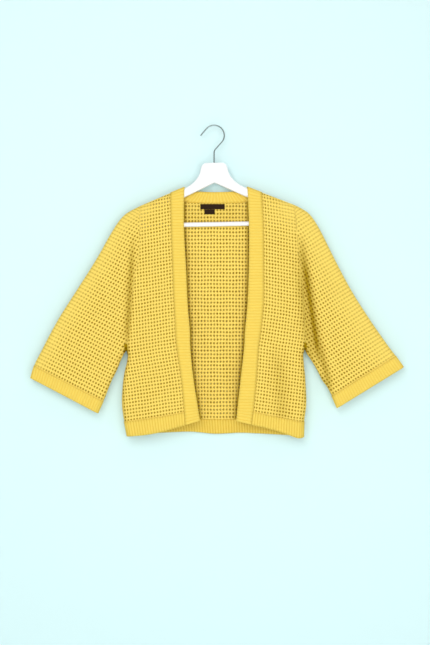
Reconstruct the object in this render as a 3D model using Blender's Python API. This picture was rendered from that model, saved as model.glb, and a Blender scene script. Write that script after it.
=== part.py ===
# Openwork cardigan on its hanger.
# The shape is worked out in millimetres and the meshes are made in metres, +Z up.
# X runs to the right and Y away from someone who faces the front of the garment.
# The origin is the point inside the top of the hook that rests on a rail.

import math

import bmesh
import bpy
import numpy as np
from mathutils import Matrix

MM = 0.001

# Cloth, in millimetres
KNIT_WALL = 2.6
RIB_WALL = 2.4
RIB_RISE = 1.1
SEAM_GAP = 0.3
BAND_RIB = 7.0
NECK_RIB = 7.5
HEM_RIB = 6.5
CUFF_RIB = 6.6
RIB_FAN = 0.07
SHOULDER_ROUND = 8.0
SIDE_ROUND = 14.0
CUFF_HALF_DEPTH = 11.0
SLEEVE_FROM = 190.0
SLEEVE_FADE = 150.0

# How finely the cloth is cut: fractions of a line, counts, and sizes in millimetres
CURVE_STEPS = 10
NECK_COLUMN_GAP = 9.0
NECK_TURN = (0.05, 0.19, 0.40, 0.66)
ARMHOLE_STEPS = 16
FRONT_COLUMNS = 9
BACK_COLUMNS = 20
COLUMNS_SPREAD_AT = 0.85
TURNING = 24.0
PROBE = 0.6
LINE_POINTS = 400
OUTLINE_NEAR = 2.0
STATION_POINTS = 120
LOWER_ROWS = (0.06, 0.2, 0.45, 0.7, 1.0)
SLEEVE_ROWS = (0.0, 0.03, 0.065, 0.11, 0.17, 0.25, 0.34, 0.45, 0.57, 0.7, 0.85, 1.0)
SHARP_EDGE = math.radians(38.0)

# Hanger, in millimetres
HANGER_TILT = math.radians(1.1)
HANGER_FOOT = (-0.5, -88.3)
HANGER_HALF_THICK = 5.6
HANGER_EDGE = 4.4
ARM_SLOPE = math.tan(math.radians(22.1))
ARM_LINE = (78.75, -59.4)
ARM_CLEAR = 0.6
ARM_STRAIGHT = 160.0
BAR_DROP = 147.5
BAR_RADIUS = 5.4
BAR_HALF = 167.7
LUG_WIDTH = 20.0
LUG_BELOW = 3.0
LUG_CORNER = 6.0
ARM_END_DROPS = (9.5, 24.0)
ARM_END_X = 178.0
NECK_CORNER = {"x": 18.0, "z": -14.0, "radius": 14.0, "start": 90.0, "end": 20.0}
NECK_FLARE = ((35.5, -26.0), (42.5, -37.5), (52.0, -48.0))
ARM_JOINS = (68.0, 84.0)
UNDER_SIDE = ((167.7, -121.5), (150.0, -114.0), (75.0, -83.0))
UNDER_APEX = (0.0, -48.5)
STEM_HOLE = 13.0
STEM_SIDES = 12
BAR_SIDES = 16

# Hook, in millimetres
WIRE_RADIUS = 1.6
HOOK_RADIUS = 24.5
HOOK_CENTRE = (-0.5, -22.9)
HOOK_START = math.radians(140.0)
HOOK_END = math.radians(-42.0)
HOOK_FLARE = 21.5
HOOK_RUN = 22.0
STEM_BEND = 13.6
HOOK_STEPS = 19
BEND_STEPS = 5

# Tags, in millimetres
LABEL = {"left": -33.6, "right": 25.0, "top": -186.9, "bottom": -199.2, "thick": 0.8}
SIZE_TAG = {"left": -23.8, "right": 1.2, "top": -199.6, "bottom": -211.4, "thick": 0.6}

# Colours as seen, sRGB 0 to 1
YARN = (0.985, 0.860, 0.385)
YARN_RIB = (0.990, 0.868, 0.400)
PAINT_WHITE = (0.96, 0.96, 0.96)
STEEL = (0.62, 0.64, 0.66)
TAG_BLACK = (0.045, 0.040, 0.038)


def table(columns, *rows):
    names = columns.split()
    return [dict(zip(names, row)) for row in rows]


# Half the depth of the body at each height, front to back.
BODY_DEPTH = table(
    "z depth",
    (-140, 10.0), (-230, 11.0), (-330, 12.5), (-450, 15.0), (-600, 17.5), (-760, 19.5),
)

# Sleeve edges from the armhole to the cuff's end: outer fold, then underarm seam.
SLEEVE_LEFT = table(
    "outer_x outer_z inner_x inner_z",
    (-177.0, -191.6, -211.3, -539.5),
    (-214.3, -213.0, -217.0, -548.0),
    (-241.5, -247.5, -223.9, -561.6),
    (-283.9, -321.6, -233.5, -585.6),
    (-329.5, -393.6, -245.5, -609.6),
    (-375.1, -465.6, -255.1, -633.6),
    (-413.5, -537.6, -262.0, -652.0),
    (-432.2, -575.0, -266.0, -660.0),
    (-441.0, -604.0, -279.0, -689.0),
)
SLEEVE_RIGHT = table(
    "outer_x outer_z inner_x inner_z",
    (191.0, -189.1, 216.8, -538.0),
    (206.0, -196.6, 219.0, -541.5),
    (229.0, -212.6, 223.5, -549.5),
    (252.5, -247.5, 232.1, -561.6),
    (289.7, -321.6, 246.5, -585.6),
    (328.1, -393.6, 258.5, -609.6),
    (373.7, -465.6, 270.5, -626.0),
    (416.5, -527.0, 278.0, -640.0),
    (434.9, -551.5, 281.5, -647.0),
    (454.0, -578.2, 294.0, -676.6),
)

# Armhole seams between the ends that the sleeve tables give.
ARMHOLE_LEFT = table("x z", (-179.5, -298.0), (-187.0, -346.0), (-195.0, -394.0), (-205.4, -490.0))
ARMHOLE_RIGHT = table("x z", (196.0, -238.0), (201.0, -298.0), (210.5, -394.0), (216.0, -490.0))

# Sides of the body below the underarm.
SIDE_LEFT = table(
    "x z",
    (-207.8, -549.0), (-209.5, -566.0), (-216.7, -598.0), (-220.5, -634.0),
    (-221.3, -670.0), (-216.7, -706.0), (-209.5, -744.0),
)
SIDE_RIGHT = table(
    "x z",
    (213.6, -548.0), (214.6, -566.0), (217.7, -598.0), (220.0, -634.0),
    (220.6, -670.0), (216.0, -706.0), (214.5, -746.0),
)

# Front band: its free edge and its seam on both sides of the opening.
NECK_LEFT = (-72.0, -146.6)
NECK_RIGHT = (79.4, -146.2)
BAND_TOP_LEFT = (-105.0, -160.7)
BAND_TOP_RIGHT = (113.5, -159.3)
BAND = table(
    "z seam_left edge_left edge_right seam_right",
    (-240, -103.0, -72.7, 82.8, 117.6),
    (-330, -100.0, -68.0, 82.6, 118.4),
    (-420, -96.4, -64.0, 79.7, 118.2),
    (-490, -93.0, -58.3, 73.4, 111.5),
    (-530, -90.0, -57.2, 71.3, 106.0),
    (-600, -79.5, -50.5, 63.5, 101.5),
    (-660, -73.8, -41.3, 57.0, 95.8),
)
BAND_FOOT = {
    "edge_left": (-34.0, -706.0), "seam_left": (-69.6, -717.0),
    "edge_right": (52.0, -706.5), "seam_right": (89.0, -716.0),
}

# Back of the neck: free edge and seam, from the left shoulder to the right.
NECK_EDGE = table(
    "x z",
    (-64.0, -151.5), (-45.0, -156.0), (0.0, -157.7), (50.0, -156.2), (72.0, -151.5),
)
NECK_SEAM = table(
    "x z",
    (-97.0, -170.5), (-84.0, -178.5), (-60.0, -183.8), (0.0, -185.5),
    (62.0, -184.2), (92.0, -178.0), (105.0, -169.5),
)

# Hems: seam with the openwork and free edge.
HEM_SIDE = -709.0
HEM_SEAM_LEFT = table("x z", (-134.0, -697.0))
HEM_SEAM_RIGHT = table("x z", (150.0, -697.0))
HEM_SEAM_LEFT_END = -686.0
HEM_SEAM_RIGHT_END = -684.0
HEM_EDGE_LEFT = table("x z", (-98.0, -725.0), (-127.0, -733.0), (-166.0, -740.0))
HEM_EDGE_RIGHT = table("x z", (130.0, -725.0), (166.0, -736.0), (198.0, -747.0))
HEM_SEAM_BACK = table("x z", (-120.0, -705.5), (0.0, -705.0), (120.0, -705.5))
HEM_EDGE_BACK = table(
    "x z",
    (-130.0, -738.0), (-58.0, -735.0), (0.0, -740.0), (65.0, -738.0), (140.0, -741.0),
)

# Largest folds: a soft trough (negative) or ridge along a line, on the front or the back sheet.
FOLDS = table(
    "sheet x0 z0 x1 z1 width depth",
    ("front", 217.7, -326.4, 256.0, -552.0, 12.0, -7.0),
    ("front", 238.0, -330.0, 284.0, -545.0, 15.0, 3.0),
    ("front", -199.9, -302.4, -212.5, -530.0, 9.0, -6.0),
    ("front", -222.0, -330.0, -235.0, -540.0, 13.0, 3.0),
    ("front", 148.1, -489.6, 166.3, -734.4, 22.0, -4.5),
    ("front", 178.0, -500.0, 194.0, -734.0, 16.0, 3.0),
    ("front", -140.0, -560.0, -150.0, -740.0, 26.0, 3.0),
    ("back", -28.0, -610.0, -22.0, -715.0, 14.0, 4.0),
    ("back", 60.0, -560.0, 64.0, -735.0, 26.0, 4.0),
    ("back", -130.0, -540.0, -140.0, -735.0, 28.0, 4.5),
    ("back", 216.0, -330.0, 240.0, -545.0, 12.0, -6.0),
    ("back", -200.0, -310.0, -214.0, -530.0, 12.0, -6.0),
)


# Smooth lines

def columns(rows, *names):
    return [tuple(float(row[name]) for name in names) for row in rows]


def smooth_line(points, steps=CURVE_STEPS):
    """Smooth curve through the points, as an array of (x, z)."""
    p = [np.array(q, float) for q in points]
    p = [2 * p[0] - p[1]] + p + [2 * p[-1] - p[-2]]
    line = []
    for a, b, c, d in zip(p, p[1:], p[2:], p[3:]):
        for k in range(steps):
            t = k / steps
            line.append(0.5 * (2 * b + (c - a) * t + (2 * a - 5 * b + 4 * c - d) * t ** 2
                               + (3 * b - a - 3 * c + d) * t ** 3))
    line.append(p[-2])
    return np.array(line)


def along(line, t):
    """Points at the fractions t of a line's length."""
    reach = np.concatenate([[0.0], np.cumsum(np.linalg.norm(np.diff(line, axis=0), axis=1))])
    s = np.asarray(t, float) * reach[-1]
    return np.stack([np.interp(s, reach, line[:, 0]), np.interp(s, reach, line[:, 1])], axis=-1)


def at_x(line, x):
    order = np.argsort(line[:, 0])
    return np.interp(x, line[order, 0], line[order, 1])


def at_z(line, z):
    order = np.argsort(line[:, 1])
    return np.interp(z, line[order, 1], line[order, 0])


def moved(line, toward, amount):
    """A line moved by amount across its own run, to the side where the point toward lies."""
    run = np.gradient(line, axis=0)
    side = np.stack([-run[:, 1], run[:, 0]], axis=1) / np.linalg.norm(run, axis=1)[:, None]
    middle = len(line) // 2
    if np.dot(side[middle], np.array(toward) - line[middle]) < 0:
        side = -side
    return line + side * amount


def distance(points, line):
    """Distance of each point from a polyline."""
    a = line[:-1]
    run = line[1:] - a
    size = (run ** 2).sum(axis=1)
    rel = points[:, None, :] - a[None, :, :]
    t = np.clip((rel * run).sum(axis=2) / size, 0.0, 1.0)
    gap = rel - t[:, :, None] * run
    return np.sqrt((gap ** 2).sum(axis=2)).min(axis=1)


# The lines of this garment

def garment_lines():
    lines = {}
    for side, sleeve, armhole, body, neck, band_top in (
            ("left", SLEEVE_LEFT, ARMHOLE_LEFT, SIDE_LEFT, NECK_LEFT, BAND_TOP_LEFT),
            ("right", SLEEVE_RIGHT, ARMHOLE_RIGHT, SIDE_RIGHT, NECK_RIGHT, BAND_TOP_RIGHT)):
        outer = smooth_line(columns(sleeve, "outer_x", "outer_z"))
        inner = smooth_line(columns(sleeve, "inner_x", "inner_z"))
        apex = tuple(inner[0])
        flank = smooth_line([apex] + columns(body, "x", "z"))
        lines["outer_" + side] = outer
        lines["inner_" + side] = inner
        lines["flank_" + side] = flank
        lines["armhole_" + side] = smooth_line([tuple(outer[0])] + columns(armhole, "x", "z") + [apex])
        lines["top_" + side] = np.vstack([[neck, band_top], outer, 2 * outer[-1:] - outer[-2:-1]])
        lines["under_" + side] = np.vstack([2 * inner[-1:] - inner[-2:-1], inner[::-1], flank[1:],
                                            [flank[-1] + np.array([0.0, -12.0])]])
        lines["edge_" + side] = smooth_line(
            [neck] + columns(BAND, "edge_" + side, "z") + [BAND_FOOT["edge_" + side]])
        lines["seam_" + side] = smooth_line(
            [band_top] + columns(BAND, "seam_" + side, "z") + [BAND_FOOT["seam_" + side]])
    lines["neck_edge"] = smooth_line([NECK_LEFT] + columns(NECK_EDGE, "x", "z") + [NECK_RIGHT])
    lines["neck_seam"] = np.array([BAND_TOP_LEFT] + columns(NECK_SEAM, "x", "z") + [BAND_TOP_RIGHT])
    return lines


LINES = garment_lines()


# The cloth surface: two sheets that meet at the outline

def rounding(gap, radius):
    return 1.0 - (1.0 - np.minimum(gap / radius, 1.0)) ** 2


def fold_depth(points, sheet):
    total = np.zeros(len(points))
    for fold in FOLDS:
        if fold["sheet"] != sheet:
            continue
        a = np.array([fold["x0"], fold["z0"]], float)
        run = np.array([fold["x1"], fold["z1"]], float) - a
        t = ((points - a) @ run) / (run @ run)
        across = np.abs((points - a) @ np.array([-run[1], run[0]])) / np.linalg.norm(run)
        fade = np.clip((t + 0.25) / 0.5, 0.0, 1.0) * np.clip((1.25 - t) / 0.3, 0.0, 1.0)
        total += fold["depth"] * fade * np.exp(-(across / fold["width"]) ** 2)
    return total


def depth_squared(points, sheet):
    """Square of the sheet's distance from the middle plane y = 0."""
    top = np.minimum(distance(points, LINES["top_left"]), distance(points, LINES["top_right"]))
    under = np.minimum(distance(points, LINES["under_left"]), distance(points, LINES["under_right"]))
    body = np.interp(-points[:, 1], [-row["z"] for row in BODY_DEPTH], [row["depth"] for row in BODY_DEPTH])
    out = np.clip((np.abs(points[:, 0]) - SLEEVE_FROM) / SLEEVE_FADE, 0.0, 1.0)
    fade = out * out * (3 - 2 * out)
    half = body * (1 - fade) + CUFF_HALF_DEPTH * fade + fold_depth(points, sheet)
    return half ** 2 * rounding(top, SHOULDER_ROUND) * rounding(under, SIDE_ROUND)


def sheet_sign(sheet):
    return -1.0 if sheet == "front" else 1.0


def slope(points, sheet, step=0.05):
    dx = np.array([step, 0.0])
    dz = np.array([0.0, step])
    across = (depth_squared(points + dx, sheet) - depth_squared(points - dx, sheet)) / (2 * step)
    up = (depth_squared(points + dz, sheet) - depth_squared(points - dz, sheet)) / (2 * step)
    return across, up


def cloth(points, sheet, outline, inward, half_gap=0.0):
    """Place and outward normal of points on a sheet; outline marks those on the silhouette."""
    shape = points.shape[:-1]
    flat = points.reshape(-1, 2)
    mark = outline.reshape(-1)
    pull = inward.reshape(-1, 2)
    size = np.linalg.norm(pull, axis=1)[:, None]
    probe = np.where(mark[:, None], flat + PROBE * pull / np.maximum(size, 1e-6), flat)
    y = np.sqrt(np.maximum(depth_squared(flat, sheet), 0.0))
    y = sheet_sign(sheet) * np.where(mark, half_gap, y)
    across, up = slope(probe, sheet)
    normal = np.stack([-across / 2, np.where(mark, 0.0, y), -up / 2], axis=1)
    normal /= np.linalg.norm(normal, axis=1)[:, None]
    place = np.stack([flat[:, 0], y, flat[:, 1]], axis=1)
    return place.reshape(shape + (3,)), normal.reshape(shape + (3,))


def on_sheet(line_at, sheet):
    """Points of a line on its sheet, closest together at its ends, which touch y = 0 on the outline."""
    t = (1 - np.cos(np.linspace(0, math.pi, STATION_POINTS))) / 2
    points = line_at(t)
    y = np.sqrt(np.maximum(depth_squared(points, sheet), 0.0))
    y[[0, -1]] = np.where(y[[0, -1]] < OUTLINE_NEAR, 0.0, y[[0, -1]])
    return t, np.stack([points[:, 0], sheet_sign(sheet) * y, points[:, 1]], axis=1)


def stations(line_at, sheet, count, turning):
    """Fractions of a line that cut it evenly by its length on the sheet, and by its turning."""
    t, place = on_sheet(line_at, sheet)
    run = np.diff(place, axis=0)
    size = np.linalg.norm(run, axis=1)
    heading = run / np.maximum(size, 1e-9)[:, None]
    turn = np.arccos(np.clip((heading[1:] * heading[:-1]).sum(axis=1), -1.0, 1.0))
    weight = size + turning * np.concatenate([[0.0], turn])
    reach = np.concatenate([[0.0], np.cumsum(weight)])
    return np.interp(np.linspace(0, reach[-1], count + 1), reach, t)


def length_on_sheet(line_at, sheet):
    return np.linalg.norm(np.diff(on_sheet(line_at, sheet)[1], axis=0), axis=1).sum()


# Meshes

def principled(name, colour, roughness, metallic=0.0):
    material = bpy.data.materials.new(name)
    material.use_nodes = True
    shader = material.node_tree.nodes["Principled BSDF"]
    linear = [c / 12.92 if c <= 0.04045 else ((c + 0.055) / 1.055) ** 2.4 for c in colour]
    shader.inputs["Base Color"].default_value = (*linear, 1.0)
    shader.inputs["Roughness"].default_value = roughness
    shader.inputs["Metallic"].default_value = metallic
    return material


def add_object(name, mesh, material, collection):
    thing = bpy.data.objects.new(name, mesh)
    collection.objects.link(thing)
    if mesh.materials:
        mesh.materials[0] = material
    else:
        mesh.materials.append(material)
    return thing


def wall(name, place, normal, thick, rise, material, collection, ring=False):
    """Closed cloth wall from a grid of points: rise lifts the outer points, thick goes inward."""
    rows, cols = place.shape[:2]
    outer = place + normal * rise[..., None]
    inner = place - normal * thick
    work = bmesh.new()
    skins = []
    for skin in (outer, inner):
        skins.append([[work.verts.new(skin[r, c] * MM) for c in range(cols)] for r in range(rows)])
    out, back = skins
    last = cols if ring else cols - 1
    for r in range(rows - 1):
        for c in range(last):
            d = (c + 1) % cols
            work.faces.new((out[r][c], out[r][d], out[r + 1][d], out[r + 1][c]))
            work.faces.new((back[r][c], back[r + 1][c], back[r + 1][d], back[r][d]))
    for c in range(last):
        d = (c + 1) % cols
        ends = [[out[0][c], back[0][c], back[0][d], out[0][d]],
                [out[-1][c], out[-1][d], back[-1][d], back[-1][c]]]
        for end in ends:
            # The far half of a ring is split along its other diagonal, as the back panel beside it is.
            work.faces.new(end[1:] + end[:1] if ring and c >= cols // 2 else end)
    if not ring:
        for r in range(rows - 1):
            work.faces.new((out[r][0], out[r + 1][0], back[r + 1][0], back[r][0]))
            work.faces.new((out[r][-1], back[r][-1], back[r + 1][-1], out[r + 1][-1]))
    bmesh.ops.recalc_face_normals(work, faces=work.faces)
    mesh = bpy.data.meshes.new(name)
    work.to_mesh(mesh)
    work.free()
    mesh.shade_smooth()
    mesh.set_sharp_from_angle(angle=SHARP_EDGE)
    return add_object(name, mesh, material, collection)


def patch(top, bottom, left, right, u, v):
    """Grid of (x, z) between four lines that meet at the corners; u and v are per point."""
    corner = top(np.array([0.0, 1.0]))
    foot = bottom(np.array([0.0, 1.0]))
    u3 = u[..., None]
    v3 = v[..., None]
    ruled = (1 - v3) * top(u) + v3 * bottom(u) + (1 - u3) * left(v) + u3 * right(v)
    flat = ((1 - v3) * ((1 - u3) * corner[0] + u3 * corner[1])
            + v3 * ((1 - u3) * foot[0] + u3 * foot[1]))
    return ruled - flat


def line_function(line):
    return lambda t: along(line, t)


def toward_middle(grid):
    return grid.mean(axis=(0, 1)) - grid


def piece_of(line, start, end):
    """The stretch of a line from start millimetres to end millimetres, measured along it."""
    total = np.linalg.norm(np.diff(line, axis=0), axis=1).sum()
    return along(line, np.linspace(start / total, end / total, LINE_POINTS))


def trim(line, head=0.0, tail=0.0):
    total = np.linalg.norm(np.diff(line, axis=0), axis=1).sum()
    return piece_of(line, head, total - tail)


def above(line, z):
    """The part of a falling line that lies above the height z."""
    kept = line[line[:, 1] > z]
    return np.vstack([kept, [at_z(line, z), z]])


# Openwork panels

def body_side(side):
    """Edge of the body from the shoulder to the hem, and the fractions of it where its rows lie."""
    armhole = moved(LINES["armhole_" + side], (0.0, -400.0), SEAM_GAP / 2)
    flank = above(LINES["flank_" + side], HEM_SIDE + SEAM_GAP / 2)
    line = np.vstack([armhole, flank[1:]])
    reach = np.concatenate([[0.0], np.cumsum(np.linalg.norm(np.diff(line, axis=0), axis=1))])
    upper = reach[:len(armhole)] / reach[-1]
    return line, np.concatenate([upper, upper[-1] + (1.0 - upper[-1]) * np.array(LOWER_ROWS)])


def hem_line(side, rows, seam_z):
    flank = LINES["flank_" + side]
    seam = LINES["seam_" + side]
    ends = [(at_z(flank, HEM_SIDE), HEM_SIDE), (at_z(seam, seam_z), seam_z)]
    return smooth_line([ends[0]] + columns(rows, "x", "z") + [ends[1]])


def share_rows():
    """Cut the armhole and band seams at the body's rows, so that the pieces along them match."""
    for side, seam_z in (("left", HEM_SEAM_LEFT_END), ("right", HEM_SEAM_RIGHT_END)):
        smooth = LINES["armhole_" + side]
        cuts = stations(line_function(smooth), "front", ARMHOLE_STEPS, TURNING)
        LINES["armhole_" + side] = along(smooth, cuts)
        rows = body_side(side)[1]
        seam = LINES["seam_" + side]
        LINES["seam_" + side] = np.vstack([along(above(seam, seam_z), rows), seam[seam[:, 1] < seam_z - 1.0]])


def build_front(side, material, collection):
    seam_z = HEM_SEAM_LEFT_END if side == "left" else HEM_SEAM_RIGHT_END
    rows = HEM_SEAM_LEFT if side == "left" else HEM_SEAM_RIGHT
    outer, v = body_side(side)
    middle = outer.mean(axis=0)
    band = above(moved(LINES["seam_" + side], middle, SEAM_GAP / 2), seam_z + SEAM_GAP / 2)
    hem = hem_line(side, rows, seam_z) + np.array([0.0, SEAM_GAP / 2])
    shoulder = np.array([outer[0], band[0]])
    hem[0] = outer[-1]
    hem[-1] = band[-1]
    lines = [line_function(line) for line in (shoulder, hem, outer, band)]
    low_row = lambda t: patch(*lines, t, np.full_like(t, COLUMNS_SPREAD_AT))
    across = stations(low_row, "front", FRONT_COLUMNS, TURNING)
    grid_u, grid_v = np.meshgrid(across, v)
    grid = patch(*lines, grid_u, grid_v)
    outline = (grid_v == 0.0) | ((grid_u == 0.0) & (grid_v >= v[ARMHOLE_STEPS]))
    place, normal = cloth(grid, "front", outline, toward_middle(grid), SEAM_GAP / 2)
    return wall("front_" + side, place, normal, KNIT_WALL, np.zeros(grid_u.shape), material, collection)


def build_back(material, collection):
    left, rows_left = body_side("left")
    right, rows_right = body_side("right")
    hem = smooth_line([tuple(left[-1])] + columns(HEM_SEAM_BACK, "x", "z") + [tuple(right[-1])])
    neck = moved(LINES["neck_seam"], (0.0, -400.0), SEAM_GAP / 2)
    top = np.vstack([[left[0]], neck, [right[0]]])
    spread = lambda line: (lambda t: np.stack(
        [line[0, 0] + t * (line[-1, 0] - line[0, 0]),
         at_x(line, line[0, 0] + t * (line[-1, 0] - line[0, 0]))], axis=-1))
    turn = [(neck[a] + (neck[b] - neck[a]) * share)[0] for a, b in ((0, 1), (-1, -2)) for share in NECK_TURN]
    knots = (np.sort(np.concatenate([neck[:, 0], turn])) - left[0, 0]) / (right[0, 0] - left[0, 0])
    lines = [spread(top), spread(hem), line_function(left), line_function(right)]
    low_row = lambda t: patch(*lines, t, np.full_like(t, COLUMNS_SPREAD_AT))
    across = stations(low_row, "back", BACK_COLUMNS, TURNING)
    free = [u for u in across if np.abs(knots - u).min() > NECK_COLUMN_GAP / (right[0, 0] - left[0, 0])]
    across = np.array(sorted(free + list(knots)))
    grid_u = np.tile(across, (len(rows_left), 1))
    grid_v = rows_left[:, None] * (1 - grid_u) + rows_right[:, None] * grid_u
    grid = patch(*lines, grid_u, grid_v)
    shoulder = (grid_v == 0.0) & ((grid_u <= knots[0] + 1e-9) | (grid_u >= knots[-1] - 1e-9))
    below = np.arange(len(rows_left))[:, None] >= ARMHOLE_STEPS
    sides = below & ((grid_u == 0.0) | (grid_u == 1.0))
    place, normal = cloth(grid, "back", shoulder | sides, toward_middle(grid), SEAM_GAP / 2)
    return wall("back_panel", place, normal, KNIT_WALL, np.zeros(grid_u.shape), material, collection)


def sleeve_lines(side):
    outer = trim(LINES["outer_" + side][:-CURVE_STEPS], 0.0, SEAM_GAP / 2)
    inner = trim(LINES["inner_" + side][:-CURVE_STEPS], 0.0, SEAM_GAP / 2)
    armhole = moved(LINES["armhole_" + side], outer.mean(axis=0), SEAM_GAP / 2)
    outer[0] = armhole[0]
    inner[0] = armhole[-1]
    return armhole, np.array([outer[-1], inner[-1]]), outer, inner


def build_sleeve(side, material, collection):
    lines = [line_function(line) for line in sleeve_lines(side)]
    armhole = LINES["armhole_" + side]
    reach = np.concatenate([[0.0], np.cumsum(np.linalg.norm(np.diff(armhole, axis=0), axis=1))])
    rings = []
    for s in SLEEVE_ROWS:
        ring = []
        for sheet in ("front", "back"):
            chord = lambda t, s=s: patch(*lines, t, np.full_like(t, s))
            t = stations(chord, sheet, ARMHOLE_STEPS, TURNING) if s > 0 else reach / reach[-1]
            grid = chord(t)
            outline = (t == t[0]) | (t == t[-1])
            place, normal = cloth(grid, sheet, outline, grid.mean(axis=0) - grid)
            if sheet == "back":
                place = place[-2:0:-1]
                normal = normal[-2:0:-1]
            ring.append((place, normal))
        rings.append([np.concatenate([part[k] for part in ring]) for k in (0, 1)])
    place = np.array([ring[0] for ring in rings])
    normal = np.array([ring[1] for ring in rings])
    rise = np.zeros(place.shape[:2])
    return wall("sleeve_" + side, place, normal, KNIT_WALL, rise, material, collection, ring=True)


# Ribbed strips

def rib_rise(count):
    return np.where(np.arange(count) % 2 == 1, RIB_RISE, 0.0)


def across_from(first, second, t, level):
    """Fraction of the second line met from fraction t of the first: level with it, but for the ends."""
    if not level:
        return t
    reach = np.concatenate([[0.0], np.cumsum(np.linalg.norm(np.diff(second, axis=0), axis=1))])
    same = np.interp(-along(first, t)[..., 1], -second[:, 1], reach / reach[-1])
    return t + (same - t) * np.clip(t / RIB_FAN, 0.0, 1.0) * np.clip((1 - t) / RIB_FAN, 0.0, 1.0)


def strip(first, second, sheet, pitch, level=False):
    """Stations between two lines, two for each rib, from one end of the strip to the other."""
    between = lambda t: (along(first, t) + along(second, across_from(first, second, t, level))) / 2
    ribs = max(1, round(length_on_sheet(between, sheet) / pitch))
    t = stations(between, sheet, 2 * ribs, 0.0)
    return np.stack([along(first, t), along(second, across_from(first, second, t, level))], axis=1)


def build_hem(name, sheet, seam, edge, both_sides, material, collection):
    grid = strip(seam, edge, sheet, HEM_RIB)
    outline = np.zeros(grid.shape[:2], bool)
    outline[0] = True
    outline[-1] = both_sides
    place, normal = cloth(grid, sheet, outline, toward_middle(grid), SEAM_GAP / 2)
    rise = np.repeat(rib_rise(len(grid))[:, None], 2, axis=1)
    return wall(name, place, normal, RIB_WALL, rise, material, collection)


def build_hems(material, collection):
    gap = np.array([0.0, SEAM_GAP / 2])
    flanks = {}
    for side, rows, edge_rows, seam_z in (
            ("left", HEM_SEAM_LEFT, HEM_EDGE_LEFT, HEM_SEAM_LEFT_END),
            ("right", HEM_SEAM_RIGHT, HEM_EDGE_RIGHT, HEM_SEAM_RIGHT_END)):
        flank = LINES["flank_" + side]
        top = hem_line(side, rows, seam_z) - gap
        band = moved(LINES["seam_" + side], top[0], SEAM_GAP)
        foot_z = band[-1, 1]
        edge = smooth_line([tuple(flank[-1])] + columns(edge_rows, "x", "z")[::-1]
                           + [(at_z(band, foot_z), foot_z)])
        top[0] = (at_z(flank, HEM_SIDE - SEAM_GAP / 2), HEM_SIDE - SEAM_GAP / 2)
        top[-1] = (at_z(band, seam_z), seam_z - SEAM_GAP / 2)
        flanks[side] = top[0]
        build_hem("hem_front_" + side, "front", top, edge, False, material, collection)
    top = smooth_line([tuple(flanks["left"])] + columns(HEM_SEAM_BACK, "x", "z") + [tuple(flanks["right"])])
    top[1:-1] -= gap
    ends = [tuple(LINES["flank_" + side][-1]) for side in ("left", "right")]
    edge = smooth_line([ends[0]] + columns(HEM_EDGE_BACK, "x", "z") + [ends[1]])
    build_hem("hem_back", "back", top, edge, True, material, collection)


def build_cuff(side, material, collection):
    outer = trim(LINES["outer_" + side][-CURVE_STEPS - 1:], SEAM_GAP / 2)
    inner = trim(LINES["inner_" + side][-CURVE_STEPS - 1:], SEAM_GAP / 2)
    ends = [np.array([outer[k], inner[k]]) for k in (0, -1)]
    places = []
    normals = []
    for sheet in ("front", "back"):
        grid = strip(ends[0], ends[1], sheet, CUFF_RIB)
        outline = np.zeros(grid.shape[:2], bool)
        outline[0] = True
        outline[-1] = True
        place, normal = cloth(grid, sheet, outline, toward_middle(grid))
        if sheet == "back":
            place = place[-2:0:-1]
            normal = normal[-2:0:-1]
        places.append(place)
        normals.append(normal)
    place = np.concatenate(places).transpose(1, 0, 2)
    normal = np.concatenate(normals).transpose(1, 0, 2)
    rise = np.repeat(rib_rise(place.shape[1])[None, :], 2, axis=0)
    return wall("cuff_" + side, place, normal, RIB_WALL, rise, material, collection, ring=True)


def build_band(material, collection):
    """One strip: up the left front, over the shoulder, round the neck and down the right front."""
    runs = []
    for sheet, edge, seam, flip, pitch in (
            ("front", LINES["edge_left"], LINES["seam_left"], True, BAND_RIB),
            ("back", LINES["neck_edge"], LINES["neck_seam"], False, NECK_RIB),
            ("front", LINES["edge_right"], LINES["seam_right"], False, BAND_RIB)):
        middle = (0.0, -400.0) if sheet == "front" else (0.0, 0.0)
        seam = moved(seam, middle, SEAM_GAP / 2)
        grid = strip(edge, seam, sheet, pitch, level=sheet == "front")
        outline = np.zeros(grid.shape[:2], bool)
        outline[0] = True
        outline[-1] = sheet == "back"
        place, normal = cloth(grid, sheet, outline, toward_middle(grid))
        if flip:
            place = place[::-1]
            normal = normal[::-1]
        runs.append((place, normal))
    place = np.concatenate([runs[0][0], runs[1][0][1:-1], runs[2][0]])
    normal = np.concatenate([runs[0][1], runs[1][1][1:-1], runs[2][1]])
    rise = np.repeat(rib_rise(len(place))[:, None], 2, axis=1)
    return wall("front_band", place, normal, RIB_WALL, rise, material, collection)


# Tags on the inside of the back

def build_tag(name, tag, material, collection):
    x = np.linspace(tag["left"], tag["right"], 7)
    z = np.linspace(tag["top"], tag["bottom"], 3)
    grid = np.stack(np.meshgrid(x, z), axis=-1)
    outline = np.zeros(grid.shape[:2], bool)
    place, normal = cloth(grid, "back", outline, toward_middle(grid))
    place = place - normal * (KNIT_WALL + SEAM_GAP)
    return wall(name, place, normal, tag["thick"], np.zeros(grid.shape[:2]), material, collection)


# Hanger

def hanger_place():
    x, z = HANGER_FOOT
    return Matrix.Translation((x * MM, 0.0, z * MM)) @ Matrix.Rotation(-HANGER_TILT, 4, "Y")


def arm_top(x):
    """Top of an arm: it follows the shoulder line, one wall and a small clearance below it."""
    drop = (KNIT_WALL + ARM_CLEAR) * math.hypot(1.0, ARM_SLOPE)
    return ARM_LINE[1] - ARM_SLOPE * (x - ARM_LINE[0]) - drop


def arc(cx, cz, radius, start, end, count):
    return [(cx + radius * math.cos(a), cz + radius * math.sin(a))
            for a in np.linspace(math.radians(start), math.radians(end), count)]


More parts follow.
